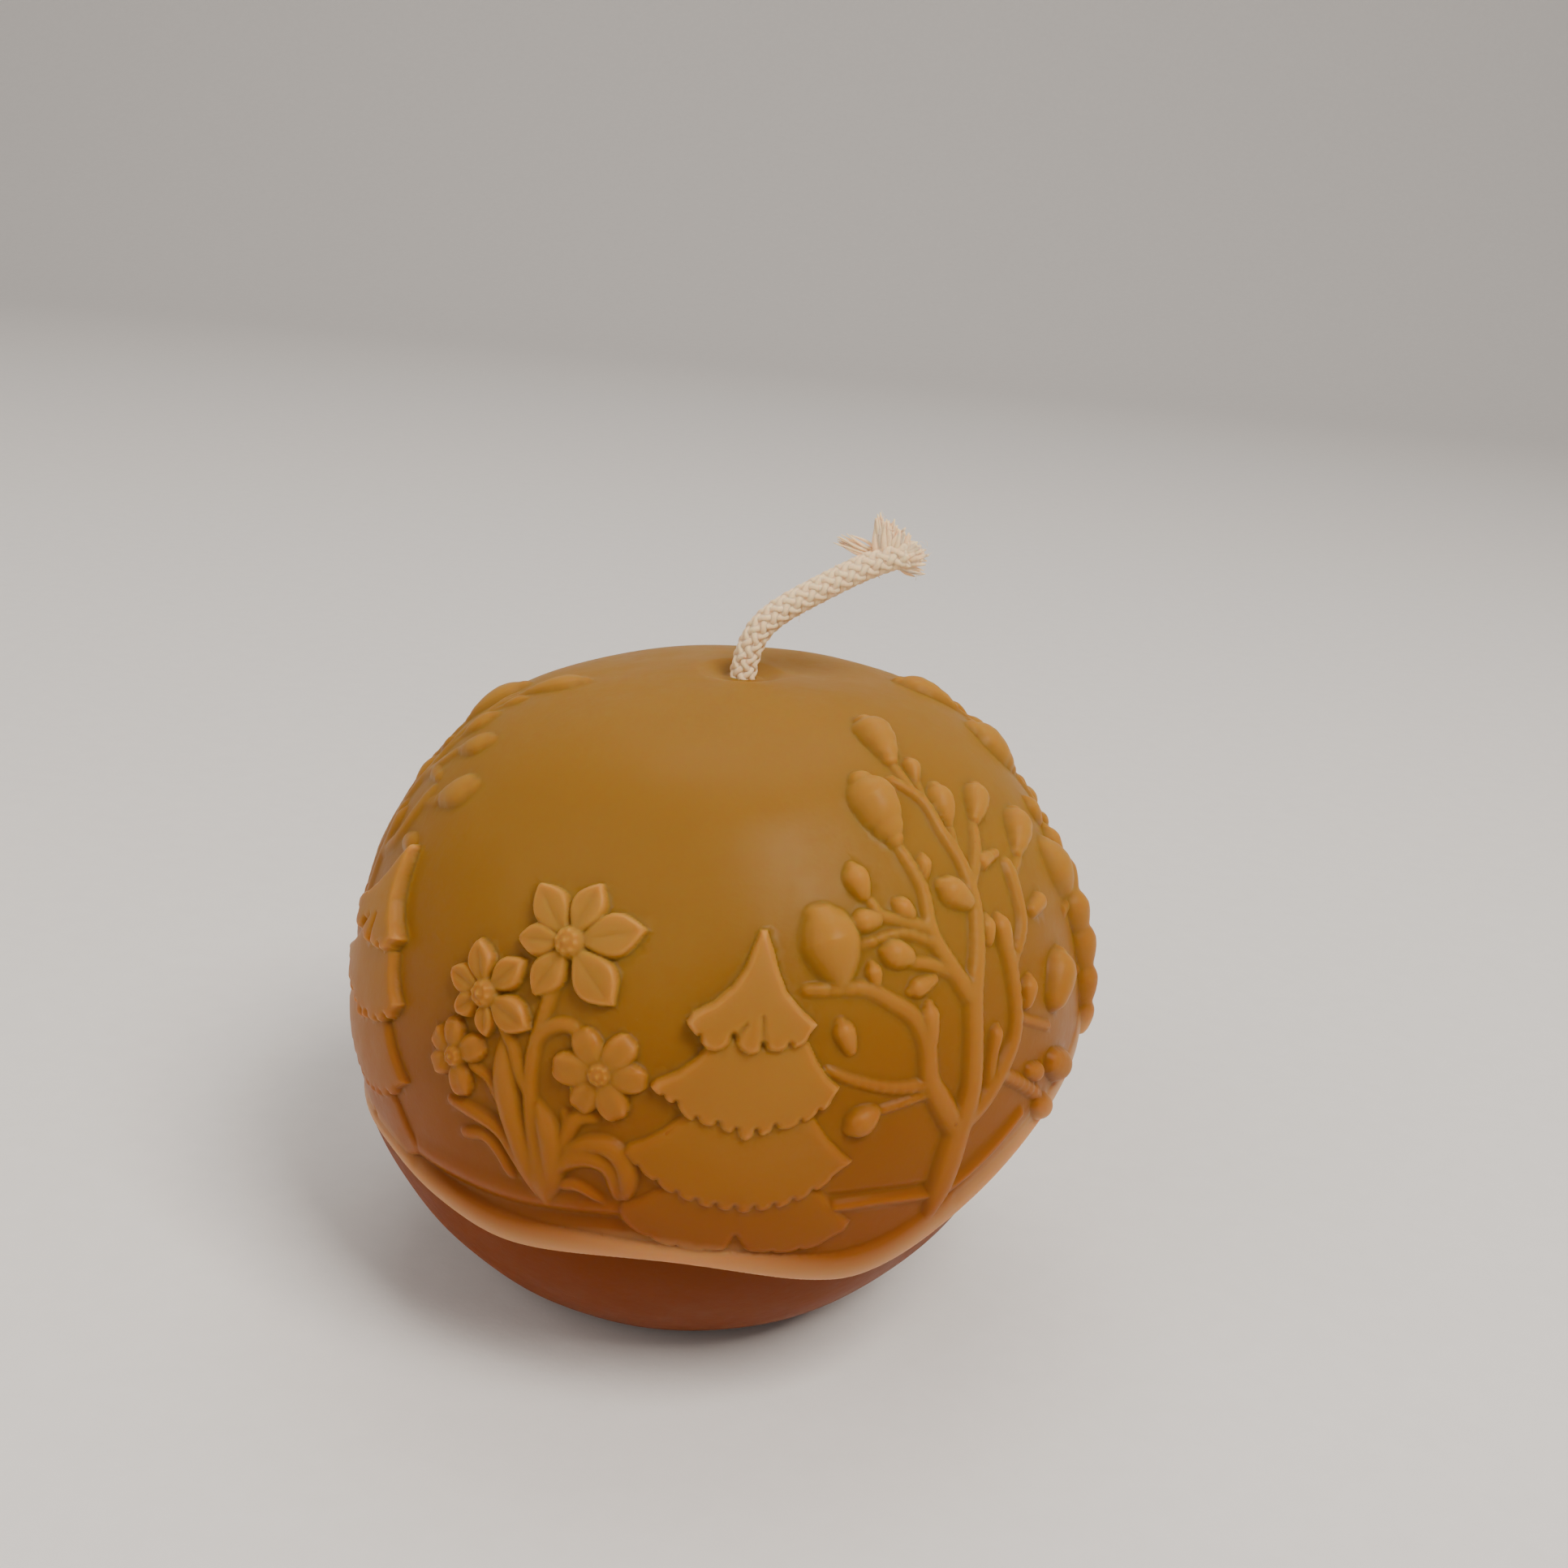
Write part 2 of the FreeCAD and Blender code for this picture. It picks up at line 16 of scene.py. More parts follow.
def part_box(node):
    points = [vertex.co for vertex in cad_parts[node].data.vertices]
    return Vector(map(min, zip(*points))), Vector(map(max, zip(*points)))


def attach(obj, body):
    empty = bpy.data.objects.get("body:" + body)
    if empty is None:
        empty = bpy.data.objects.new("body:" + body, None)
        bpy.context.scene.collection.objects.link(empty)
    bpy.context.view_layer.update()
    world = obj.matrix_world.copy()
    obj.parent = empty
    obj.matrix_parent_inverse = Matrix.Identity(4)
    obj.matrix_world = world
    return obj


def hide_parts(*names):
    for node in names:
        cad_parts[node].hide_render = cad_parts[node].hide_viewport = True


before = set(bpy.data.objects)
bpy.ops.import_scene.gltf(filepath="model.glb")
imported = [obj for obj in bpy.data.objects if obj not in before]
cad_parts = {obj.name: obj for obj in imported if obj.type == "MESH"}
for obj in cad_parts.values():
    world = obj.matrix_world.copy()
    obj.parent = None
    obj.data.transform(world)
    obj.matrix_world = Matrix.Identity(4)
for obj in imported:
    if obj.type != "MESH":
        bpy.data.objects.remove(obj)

MM = 0.001
DEGREE = math.pi / 180
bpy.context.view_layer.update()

# ---------------------------------------------------------------- sizes from the frame

ball_low, ball_high = [np.array(corner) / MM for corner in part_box("wax_ball")]
BALL_RADIUS = (ball_high[0] - ball_low[0]) / 2
CENTRE_HEIGHT = BALL_RADIUS * 6 / 7       # the flat base takes a seventh off the radius
CENTRE = np.array([(ball_low[0] + ball_high[0]) / 2, (ball_low[1] + ball_high[1]) / 2, CENTRE_HEIGHT])
MM_PER_DEGREE = BALL_RADIUS * DEGREE

CROWN_RADIUS = 80.0       # the flattened top is part of a far larger ball
CROWN_HEIGHT = 31.2       # from the ball's centre to the middle of the top
CROWN_TILT = 5.0          # how far the top leans to the left, in degrees
CROWN_BLEND = 2.6
LEFT_SLACK = 0.4          # how much smaller the ball is at its far left
FOOT_RADIUS = 33.5        # of the wax below the lip
FOOT_LEAN = 2.0           # how much smaller the foot is at its far right, and larger at its far left
BASE_BLEND = 0.6

LIP_DROP = 13.0           # from the ball's centre down to the snow bank's lip
LIP_WAVES = 6             # waves of the lip round the ball
LIP_WAVE_TURN = 3.0       # one wave peaks this many degrees left of the front
LIP_WAVE_HEIGHT = 1.3
LIP_RISE = 0.5            # of the waves' middle over that drop
HILL_RISE = 0.3           # of the hill's foot over that drop
HILL_SLOPE = 36.0         # of the hill on the right, in degrees
HILL_START = 17.3
HILL_BLEND = 2.5
ROLL_WIDTH = 2.6          # of the rounded edge along the lip
ROLL_WIDTH_WAVE = 0.8
ROLL_HEIGHT = 0.75
ROLL_FALL = 0.45          # how much lower that edge is on the hill

PIT_DEPTH = 1.1           # of the dimple round the wick
PIT_RADIUS = 4.6
HOLLOW_DEPTH = 0.8        # of the shallow hollow behind the wick, to its right
HOLLOW_PLACE = (6.0, 3.0)
HOLLOW_RADIUS = 5.0
COLLAR_HEIGHT = 0.3       # wax that climbs the wick
COLLAR_WIDTH = 0.5

WICK_RADIUS = 1.3

# ---------------------------------------------------------------- smooth unions


def smooth_max(a, b, blend):
    """The larger of two heights, with a fillet where they cross."""
    near = np.clip(0.5 + 0.5 * (a - b) / blend, 0, 1)
    return b + (a - b) * near + blend * near * (1 - near)


def smooth_min(a, b, blend):
    """The smaller of two heights, with a round where they cross."""
    return -smooth_max(-a, -b, blend)


def ramp(value, low, high):
    """0 below low, 1 above high, smooth between."""
    share = np.clip((value - low) / (high - low), 0, 1)
    return share * share * (3 - 2 * share)


def bell(distance, width):
    """1 at no distance, fading to nothing over about two widths."""
    return np.exp(-(distance / width) ** 2)


def direction(lon, lat):
    """The unit vector towards a place on the ball."""
    lon = np.radians(lon)
    lat = np.radians(lat)
    return np.stack([np.cos(lat) * np.sin(lon), -np.cos(lat) * np.cos(lon), np.sin(lat)], -1)


def round_edge(inside, width):
    """Height share of a plate by distance inside its edge, running on below the ground outside."""
    share = np.clip(inside / width, 0, 1)
    return np.where(inside > 0, np.sqrt(1 - (1 - share) ** 2), inside / width * 1.5)


def half_round(across):
    """Height of a half-round ridge by distance from its middle, both over its radius."""
    steep = 0.9
    crest = np.sqrt(1 - np.minimum(across, steep) ** 2)
    return crest - np.maximum(across - steep, 0) * steep / math.sqrt(1 - steep ** 2)


def curve_through(stops, steps=4):
    """Catmull-Rom points through the stops, so that a chain bends without corners."""
    stops = np.array(stops, float)
    if len(stops) < 3:
        return stops
    padded = np.vstack([2 * stops[0] - stops[1], stops, 2 * stops[-1] - stops[-2]])
    points = []
    for before, start, end, after in zip(padded, padded[1:], padded[2:], padded[3:]):
        for step in range(steps):
            share = step / steps
            points.append(0.5 * (
                2 * start + (end - before) * share
                + (2 * before - 5 * start + 4 * end - after) * share ** 2
                + (3 * start - before - 3 * end + after) * share ** 3
            ))
    return np.array(points + [stops[-1]])


# ---------------------------------------------------------------- layout of the relief

# Tiers of a fir tree from the top. Sides and hem are points of (longitude from the tree's axis,
# latitude); a hem's points are its notches, and each lobe hangs between two of them by its depth. The
# edge is the width over which a tier's rim is rounded.
FIR_TIERS = [
    {
        "left": [(-0.5, 30.4), (-1.6, 28.0), (-2.6, 25.4), (-4.2, 23.0), (-6.6, 20.8), (-9.2, 19.3)],
        "hem": [(-10.0, 18.0), (-8.0, 16.3), (-3.5, 16.7), (0.5, 15.7), (4.0, 15.8), (6.8, 16.9)],
        "depths": [0.6, 2.2, 2.0, 1.1, 1.0],
        "right": [(8.0, 18.3), (5.6, 20.4), (3.6, 22.6), (2.4, 25.4), (1.6, 28.0), (0.6, 30.4)],
        "hem_height": 1.6, "top_height": 1.0, "edge": 0.6,
    },
    {
        "left": [(-2.0, 19.0), (-6.6, 15.6), (-8.2, 13.4), (-10.4, 11.4), (-13.2, 9.9)],
        "hem": [(-13.9, 9.0), (-12.0, 7.9), (-10.2, 7.3), (-7.4, 5.5), (-4.6, 5.1), (-2.2, 4.4),
                (0.4, 4.3), (2.8, 5.0), (6.2, 5.6), (8.6, 7.0), (10.4, 8.2)],
        "depths": [0.5, 0.6, 1.2, 0.9, 1.0, 1.7, 1.2, 1.0, 0.8, 0.7],
        "right": [(11.4, 9.8), (9.6, 11.4), (8.2, 13.4), (7.0, 15.8), (2.0, 19.0)],
        "hem_height": 1.2, "top_height": 0.75, "edge": 0.7,
    },
    {
        "left": [(-3.0, 9.0), (-9.4, 5.4), (-11.6, 3.2), (-14.0, 1.4), (-16.0, 0.4)],
        "hem": [(-16.8, -0.8), (-14.6, -2.7), (-12.0, -4.4), (-9.2, -5.7), (-6.6, -6.6), (-4.0, -7.1),
                (-1.4, -7.4), (1.2, -7.4), (3.8, -7.0), (6.4, -6.3), (9.0, -5.0), (11.6, -3.2)],
        "depths": [0.6, 0.7, 0.9, 0.9, 1.0, 1.0, 1.2, 1.0, 1.0, 0.9, 0.8],
        "right": [(14.2, -1.2), (12.2, 0.6), (10.2, 2.8), (8.4, 5.4), (3.0, 9.0)],
        "hem_height": 0.75, "top_height": 0.5, "edge": 0.8,
    },
    {
        "left": [(-4.0, -2.0), (-12.0, -6.0), (-14.0, -7.8), (-16.6, -9.2)],
        "hem": [(-17.0, -10.4), (-16.2, -12.4), (-12.6, -14.3), (-8.8, -15.3), (-4.8, -15.7),
                (-1.9, -15.4), (-0.8, -12.7), (0.8, -15.3), (4.6, -15.7), (8.6, -15.4), (12.2, -14.5)],
        "depths": [0.4, 0.6, 0.7, 0.6, 0.3, 0.0, 0.0, 0.4, 0.6, 0.6],
        "right": [(15.0, -12.8), (15.4, -11.2), (12.8, -8.8), (10.6, -6.0), (4.0, -2.0)],
        "hem_height": 0.42, "top_height": 0.3, "edge": 0.8,
    },
]
TIER_BLEND = 0.15
# Folds that rise from the notches of the top tier: start, end.
TIER_FOLDS = [((-3.2, 16.4), (-1.9, 18.2)), ((0.5, 15.6), (0.3, 19.2))]
FOLD_DEPTH = 0.25

# Each tree: its longitude, and how far it sits below the others.
TREES = {
    "fir_tree_front": (6.2, 0.0),
    "fir_tree_left": (-62.0, 2.2),
    "fir_tree_rear_right": (124.0, 0.0),
    "fir_tree_rear_left": (-174.0, 0.0),
}

# Each flower: its centre, each petal's (heading in degrees, length), half width over length, how
# pointed the petals are, and the heart's radius.
FLOWERS = [
    ((-22.3, 25.3), [(20, 6.4), (76, 5.4), (137, 5.8), (190, 4.8), (247, 5.4), (319, 6.5)],
     0.295, 1.0, 1.4),
    ((-33.8, 15.4), [(51, 4.8), (116, 4.6), (170, 4.4), (221, 3.8), (285, 3.7), (342, 5.3)],
     0.3, 1.0, 1.35),
    ((-14.5, 9.3), [(0, 3.9), (56, 4.0), (125, 4.0), (184, 4.3), (244, 3.9), (298, 4.1)],
     0.345, 0.4, 1.15),
    ((-37.3, 5.4), [(35, 3.5), (105, 3.3), (160, 3.3), (215, 3.3), (290, 3.6)],
     0.36, 0.4, 1.1),
]
FLOWER_REACH = 8.5        # a little further out than the longest petal's tip
HEART_BEADS = 8

# Stems, leaves and branches are chains of (longitude, latitude, radius).
STEMS = [
    [(-21.4, -12.5, 0.3), (-22.0, -9.0, 0.75), (-22.8, -4.5, 0.72), (-23.8, 0.0, 0.62), (-24.6, 5.0, 0.56),
     (-24.7, 10.0, 0.52), (-24.0, 15.0, 0.5), (-23.4, 20.0, 0.55)],
    [(-25.2, 4.5, 0.5), (-26.7, 7.0, 0.5), (-28.0, 9.5, 0.45), (-30.5, 12.5, 0.45)],
    [(-24.6, 11.5, 0.45), (-22.9, 13.6, 0.52), (-20.0, 14.6, 0.5), (-17.5, 13.3, 0.4)],
    [(-29.5, 1.5, 0.35), (-31.5, 4.0, 0.35), (-34.5, 4.8, 0.35)],
]
LEAVES = [
    [(-29.8, 9.8, 0.3), (-29.0, 6.5, 0.85), (-28.2, 3.0, 1.0), (-27.0, -0.5, 0.95), (-25.2, -4.5, 0.9),
     (-23.6, -8.5, 0.8), (-22.4, -11.5, 0.3)],
    [(-23.2, 3.0, 0.35), (-21.8, 0.5, 0.8), (-20.8, -2.0, 0.95), (-20.6, -5.5, 0.9), (-20.9, -9.0, 0.7),
     (-21.4, -11.5, 0.3)],
    [(-14.8, 2.9, 0.35), (-17.0, 2.5, 0.5), (-18.3, 0.3, 0.5), (-19.3, -2.5, 0.5)],
    [(-19.0, 2.6, 0.3), (-18.5, 0.4, 0.4)],
    [(-18.8, -3.2, 0.5), (-15.3, -1.2, 0.65), (-12.6, -0.9, 0.75), (-10.6, -2.6, 0.75), (-9.8, -5.2, 0.7),
     (-10.0, -8.0, 0.4)],
    [(-20.0, -5.8, 0.6), (-17.6, -3.8, 0.7), (-14.6, -3.1, 0.7), (-12.3, -4.2, 0.6), (-11.5, -6.3, 0.5),
     (-11.0, -8.3, 0.35)],
    [(-38.0, -1.8, 0.35), (-33.8, -1.9, 0.6), (-30.6, -2.4, 0.6), (-28.5, -3.6, 0.5), (-26.8, -5.6, 0.5),
     (-24.5, -8.5, 0.5)],
    [(-35.3, -5.9, 0.4), (-31.8, -4.9, 0.45), (-29.3, -6.4, 0.45), (-27.3, -9.3, 0.4)],
    [(-19.3, -8.6, 0.4), (-17.0, -8.0, 0.45), (-15.0, -8.7, 0.4), (-13.2, -9.5, 0.25)],
]

BRANCHES = [
    [(34.8, -13.0, 0.45), (35.4, -8.5, 0.95), (36.0, -4.0, 1.1), (37.0, 0.5, 1.05), (39.0, 6.0, 0.9),
     (39.5, 12.0, 0.85), (40.2, 19.0, 0.8), (42.5, 25.0, 0.7), (44.3, 31.0, 0.65), (44.5, 37.0, 0.55),
     (43.0, 42.0, 0.5), (42.0, 47.0, 0.45), (37.0, 51.0, 0.4)],
    [(36.8, 0.5, 0.9), (33.5, 5.5, 0.85), (31.5, 9.0, 0.75), (31.0, 14.0, 0.7), (29.0, 18.0, 0.6),
     (25.5, 20.5, 0.55), (21.0, 22.6, 0.5), (13.0, 22.6, 0.42)],
    [(40.0, 18.5, 0.75), (36.5, 24.0, 0.65), (34.2, 29.0, 0.55), (34.3, 35.0, 0.5), (32.0, 41.0, 0.45)],
    [(34.3, 29.3, 0.5), (29.0, 31.0, 0.4), (25.5, 32.0, 0.35), (24.0, 34.0, 0.35)],
    [(35.2, 27.0, 0.4), (29.0, 29.3, 0.35), (21.5, 28.3, 0.3)],
    [(37.3, 22.7, 0.5), (33.0, 24.5, 0.45), (29.5, 25.3, 0.4)],
    [(31.6, 8.4, 0.5), (25.5, 8.8, 0.42), (20.0, 10.3, 0.36), (16.0, 12.0, 0.3)],
    [(32.0, 7.4, 0.4), (28.0, 6.6, 0.33), (23.5, 5.8, 0.3)],
    [(38.0, 1.5, 0.8), (42.0, 4.0, 0.75), (46.0, 8.0, 0.7), (48.8, 12.5, 0.65), (49.3, 20.0, 0.65),
     (49.0, 26.0, 0.75)],
    [(42.6, 5.0, 0.5), (43.8, 12.0, 0.6)],
    [(45.2, 6.8, 0.5), (50.0, 4.0, 0.5), (56.0, 0.0, 0.5)],
    [(49.2, 14.0, 0.35), (58.0, 10.0, 0.35)],
    [(49.2, 21.0, 0.45), (54.5, 25.5, 0.55), (56.0, 30.0, 0.6), (56.7, 34.5, 0.6)],
    [(44.6, 33.5, 0.45), (49.0, 37.5, 0.5), (52.5, 41.5, 0.4)],
    [(56.5, 32.5, 0.35), (61.5, 34.5, 0.4)],
    [(44.2, 38.5, 0.35), (45.6, 42.0, 0.35)],
    [(42.2, 46.5, 0.3), (43.5, 50.5, 0.3)],
    [(40.8, 48.2, 0.35), (39.8, 53.0, 0.4)],
]
# Buds from stalk to tip, each end as (longitude, latitude, radius).
BUDS = [
    (39.8, 54.5, 0.8, 43.5, 61.5, 1.7),
    (31.5, 42.5, 0.9, 29.4, 49.5, 2.1),
    (22.8, 35.2, 0.7, 22.0, 37.8, 1.1),
    (24.3, 31.5, 0.7, 21.8, 31.4, 0.95),
    (28.7, 26.2, 0.9, 26.5, 26.8, 1.2),
    (23.4, 22.9, 0.4, 23.0, 25.0, 0.7),
    (33.0, 22.5, 0.5, 29.5, 21.6, 0.8),
    (19.0, 14.8, 0.6, 18.0, 17.5, 0.9),
    (22.5, 5.5, 0.8, 20.6, 4.3, 1.25),
    (31.5, 14.5, 0.8, 31.7, 18.5, 0.9),
    (30.8, 31.8, 0.6, 29.3, 33.0, 0.85),
    (35.5, 36.5, 0.4, 36.2, 38.6, 0.7),
    (42.5, 32.0, 0.9, 39.5, 34.0, 1.3),
    (43.6, 50.8, 0.5, 45.0, 53.0, 0.8),
    (45.8, 43.3, 0.6, 47.0, 47.3, 1.3),
    (54.0, 42.5, 0.7, 59.5, 45.6, 1.3),
    (62.0, 35.5, 0.7, 68.5, 39.0, 1.6),
    (50.0, 36.5, 0.8, 55.0, 36.8, 0.5),
    (45.5, 26.0, 0.6, 46.0, 28.2, 0.8),
    (49.0, 25.0, 0.9, 49.0, 27.5, 1.0),
    (59.5, 27.0, 0.7, 63.0, 27.6, 0.9),
    (52.0, 15.5, 0.7, 53.0, 17.8, 0.95),
    (60.5, 14.0, 1.5, 63.5, 17.2, 1.9),
    (43.6, 11.0, 0.6, 44.3, 13.2, 0.7),
    (52.5, 5.0, 0.7, 54.8, 4.0, 0.9),
    (59.5, 4.0, 1.2, 63.0, 2.0, 1.5),
    (56.0, -1.5, 0.8, 58.5, -3.0, 1.2),
]
# The largest bud, broad at its tip: three swellings that run together.
LARGEST_BUD = [
    (17.8, 24.4, 0.9, 16.3, 30.0, 2.25),
    (17.6, 26.6, 1.0, 14.9, 31.3, 1.4),
    (17.6, 26.6, 1.0, 17.9, 30.9, 1.3),
]
# Extra buds of the bush on the far right, end to end, which join into one wavy chain.
EXTRA_BUDS = [
    (19.4, 0.5, 0.8, 19.0, 5.0, 1.4),
    (19.0, 5.5, 1.1, 19.0, 10.5, 1.7),
    (19.2, 11.0, 1.2, 19.4, 16.5, 1.85),
    (19.4, 17.0, 1.2, 18.8, 22.0, 1.8),
    (19.6, 22.4, 1.0, 21.4, 27.4, 1.5),
    (21.8, 28.0, 0.8, 23.2, 32.0, 1.1),
]
# Beside some bushes a fir tree covers what would grow east of this longitude, below this latitude.
COVERED_LON = 50.0
COVERED_LAT = 24.0
# Each bush: its turn about the axis, whether a fir tree covers its east side, its extra buds, and
# how proud it stands.
BUSHES = {
    "bush_right": (0, False, [], 0.95),
    "bush_left": (-128, True, [], 0.45),
    "bush_far_right": (61, True, EXTRA_BUDS, 0.7),
}
# The turn of each group of flowers about the axis.
FLOWER_TURNS = {"front": 0, "rear_right": 180, "rear_left": 244}
SWELL = 1.2               # stems, leaves and branches are wider than they are proud

# Drifts of the snow bank: stops of (longitude, latitude, half width), and the height.
DRIFTS = [
    ([(-48.0, -17.0, 0.8), (-30.0, -15.8, 0.8), (-10.5, -12.6, 0.7)], -0.4),
    ([(-46.0, -13.5, 1.0), (-28.0, -12.8, 1.1), (-12.0, -10.6, 0.8)], 0.3),
    ([(19.0, -8.4, 0.5), (26.0, -8.3, 0.6), (33.5, -9.0, 0.5)], 0.4),
    ([(17.0, -6.9, 0.45), (25.0, -7.0, 0.45), (33.5, -7.5, 0.45)], -0.25),
    ([(37.5, -8.6, 0.6), (44.0, -5.2, 0.7), (51.0, -1.2, 0.6)], 0.5),
    ([(40.0, -11.0, 0.8), (48.0, -7.4, 0.8), (57.0, -4.0, 0.7)], -0.3),
]


# ---------------------------------------------------------------- the height field


class Relief:
    """Heights over the ball, one for each direction."""

    def __init__(self, directions):
        self.directions = directions
        self.points = directions * BALL_RADIUS
        self.lon = np.degrees(np.arctan2(directions[:, 0], -directions[:, 1]))
        self.lat = np.degrees(np.arcsin(np.clip(directions[:, 2], -1, 1)))
        self.height = np.zeros(len(directions))

    def near(self, lon, lat, reach):
        """Indices of the directions within reach of a place."""
        return np.flatnonzero(self.directions @ direction(lon, lat) > math.cos(reach / BALL_RADIUS))

    def around(self, lon, lat, chosen):
        """Distances east and north of a place."""
        turn = (self.lon[chosen] - lon + 180) % 360 - 180
        east = turn * np.cos(self.lat[chosen] * DEGREE) * MM_PER_DEGREE
        return east, (self.lat[chosen] - lat) * MM_PER_DEGREE

    def raise_to(self, chosen, height, blend):
        self.height[chosen] = smooth_max(self.height[chosen], height, blend)

    def ridge(self, stops, blend, turn=0.0, swell=1.0, proud=1.0):
        """A half-round ridge along stops of (longitude, latitude, radius), turned about the axis."""
        for (lon1, lat1, r1), (lon2, lat2, r2) in zip(stops, stops[1:]):
            start = direction(lon1 + turn, lat1) * BALL_RADIUS
            run = direction(lon2 + turn, lat2) * BALL_RADIUS - start
            reach = np.linalg.norm(run) / 2 + 1.6 * swell * max(r1, r2) + 0.3
            chosen = self.near((lon1 + lon2) / 2 + turn, (lat1 + lat2) / 2, reach)
            offset = self.points[chosen] - start
            share = np.clip(offset @ run / max(run @ run, 1e-6), 0, 1)
            offset = offset - share[:, None] * run
            radial = np.sum(offset * self.directions[chosen], 1)
            across = np.sqrt(np.maximum(np.sum(offset ** 2, 1) - radial ** 2, 0))
            radius = r1 + (r2 - r1) * share
            self.raise_to(chosen, proud * radius * half_round(across / radius / swell), blend)

    def stroke(self, stops, height):
        """Adds a soft line of a height, or takes it away, along stops of (lon, lat, half width)."""
        path = curve_through(stops)
        added = np.zeros(len(self.height))
        for (lon1, lat1, w1), (lon2, lat2, w2) in zip(path, path[1:]):
            start = direction(lon1, lat1) * BALL_RADIUS
            run = direction(lon2, lat2) * BALL_RADIUS - start
            reach = np.linalg.norm(run) / 2 + 3 * max(w1, w2)
            chosen = self.near((lon1 + lon2) / 2, (lat1 + lat2) / 2, reach)
            offset = self.points[chosen] - start
            share = np.clip(offset @ run / (run @ run), 0, 1)
            across = np.linalg.norm(offset - share[:, None] * run, axis=1)
            added[chosen] = np.maximum(added[chosen], bell(across, w1 + (w2 - w1) * share))
        self.height += height * added

    def plate(self, lon, outline, height_at, edge, blend):
        """A raised patch inside an outline of (longitude from lon, latitude)."""
        outline = np.array(outline)
        corners = np.stack([outline[:, 0] * np.cos(outline[:, 1] * DEGREE), outline[:, 1]], 1)
        corners *= MM_PER_DEGREE
        middle = outline.mean(0)
        reach = np.linalg.norm(corners - corners.mean(0), axis=1).max() + 2
        chosen = self.near(lon + middle[0], middle[1], reach)
        spots = np.stack(self.around(lon, 0, chosen), 1)
        inside = inside_distance(spots, corners)
        self.raise_to(chosen, height_at(self.lat[chosen]) * round_edge(inside, edge), blend)


def inside_distance(spots, corners):
    """Distance of each spot from a closed outline, positive inside it."""
    nearest = np.full(len(spots), np.inf)
    inside = np.zeros(len(spots), bool)
    for start, end in zip(corners, np.roll(corners, -1, 0)):
        run = end - start
        offset = spots - start
        share = np.clip(offset @ run / max(run @ run, 1e-9), 0, 1)
        nearest = np.minimum(nearest, np.sum((offset - share[:, None] * run) ** 2, 1))
        crossing = (start[1] > spots[:, 1]) != (end[1] > spots[:, 1])
        rise = run[1] if abs(run[1]) > 1e-9 else 1e-9
        inside ^= crossing & (offset[:, 0] < run[0] * offset[:, 1] / rise)
    return np.where(inside, 1, -1) * np.sqrt(nearest)


def scalloped(notches, depths, steps=6):
    """A hem through its notches, with a round lobe hanging between each two."""
    hem = [notches[0]]
    for (lon1, lat1), (lon2, lat2), depth in zip(notches, notches[1:], depths):
        for step in range(1, steps):
            share = (1 - math.cos(math.pi * step / steps)) / 2
            hang = depth * math.sin(math.pi * step / steps)
            hem.append((lon1 + (lon2 - lon1) * share, lat1 + (lat2 - lat1) * share - hang))
        hem.append((lon2, lat2))
    return hem


def carve_tree(relief, lon, sunk):
    """Four skirts, each standing proudest at its hem, the upper ones over the lower ones."""
    for tier in reversed(FIR_TIERS):
        top = tier["left"][0][1]
        bottom = min(lat for _, lat in tier["hem"])
        outline = tier["left"] + scalloped(tier["hem"], tier["depths"]) + tier["right"]
        outline = [(east, lat - sunk) for east, lat in outline]

        def height_at(lat):
            down = np.clip((top - sunk - lat) / (top - bottom), 0, 1)
            return tier["top_height"] + (tier["hem_height"] - tier["top_height"]) * down

        relief.plate(lon, outline, height_at, tier["edge"], TIER_BLEND)
    for (lon1, lat1), (lon2, lat2) in TIER_FOLDS:
        fold = [(lon + lon1, lat1 - sunk, 0.35), (lon + lon2, lat2 - sunk, 0.2)]
        relief.stroke(fold, -FOLD_DEPTH)


def carve_flower(relief, lon, lat, petals, half_share, pointed, knob):
    """Petals round a beaded heart: long ones cupped and creased, round ones puffy."""
    chosen = relief.near(lon, lat, FLOWER_REACH)
    east, north = relief.around(lon, lat, chosen)
    for number, (heading, length) in enumerate(petals):
        heading = heading * DEGREE
        along = east * math.cos(heading) + north * math.sin(heading)
        across = -east * math.sin(heading) + north * math.cos(heading)
        share = np.clip(along / length, 0, 1.3)
        half_width = half_share * length * np.sin(math.pi * np.clip(share, 0, 1) ** 1.3) ** pointed
        inside = np.minimum(half_width - np.abs(across), (length - along) * 0.6)
        rim = np.clip(np.abs(across) / np.maximum(half_width, 0.1), 0, 1) ** 1.5
        cup = 0.87 + 0.25 * (pointed - 0.4) * rim
        crease = 0.09 * pointed * bell(across, 0.22)
        crease = crease * ramp(share, 0.2, 0.45) * (1 - ramp(share, 0.7, 0.9))
        lift = 1.0 + 0.1 * (number % 2) - 0.3 * ramp(-share, -0.5, -0.1)
        relief.raise_to(chosen, round_edge(inside, 1.05 - 0.5 * pointed) * cup * lift - crease, 0.1)
    relief.ridge([(lon, lat, knob), (lon + 0.1, lat, knob)], 0.12)
    for number in range(HEART_BEADS + 1):
        heading = 2 * math.pi * number / HEART_BEADS
        out = 0.62 * knob if number < HEART_BEADS else 0.0
        bead_lat = lat + out * math.sin(heading) / MM_PER_DEGREE
        bead_lon = lon + out * math.cos(heading) / MM_PER_DEGREE / math.cos(lat * DEGREE)
        spot = relief.near(bead_lon, bead_lat, 1.0)
        away_east, away_north = relief.around(bead_lon, bead_lat, spot)
        relief.height[spot] += 0.2 * knob * bell(np.hypot(away_east, away_north), 0.2 * knob)


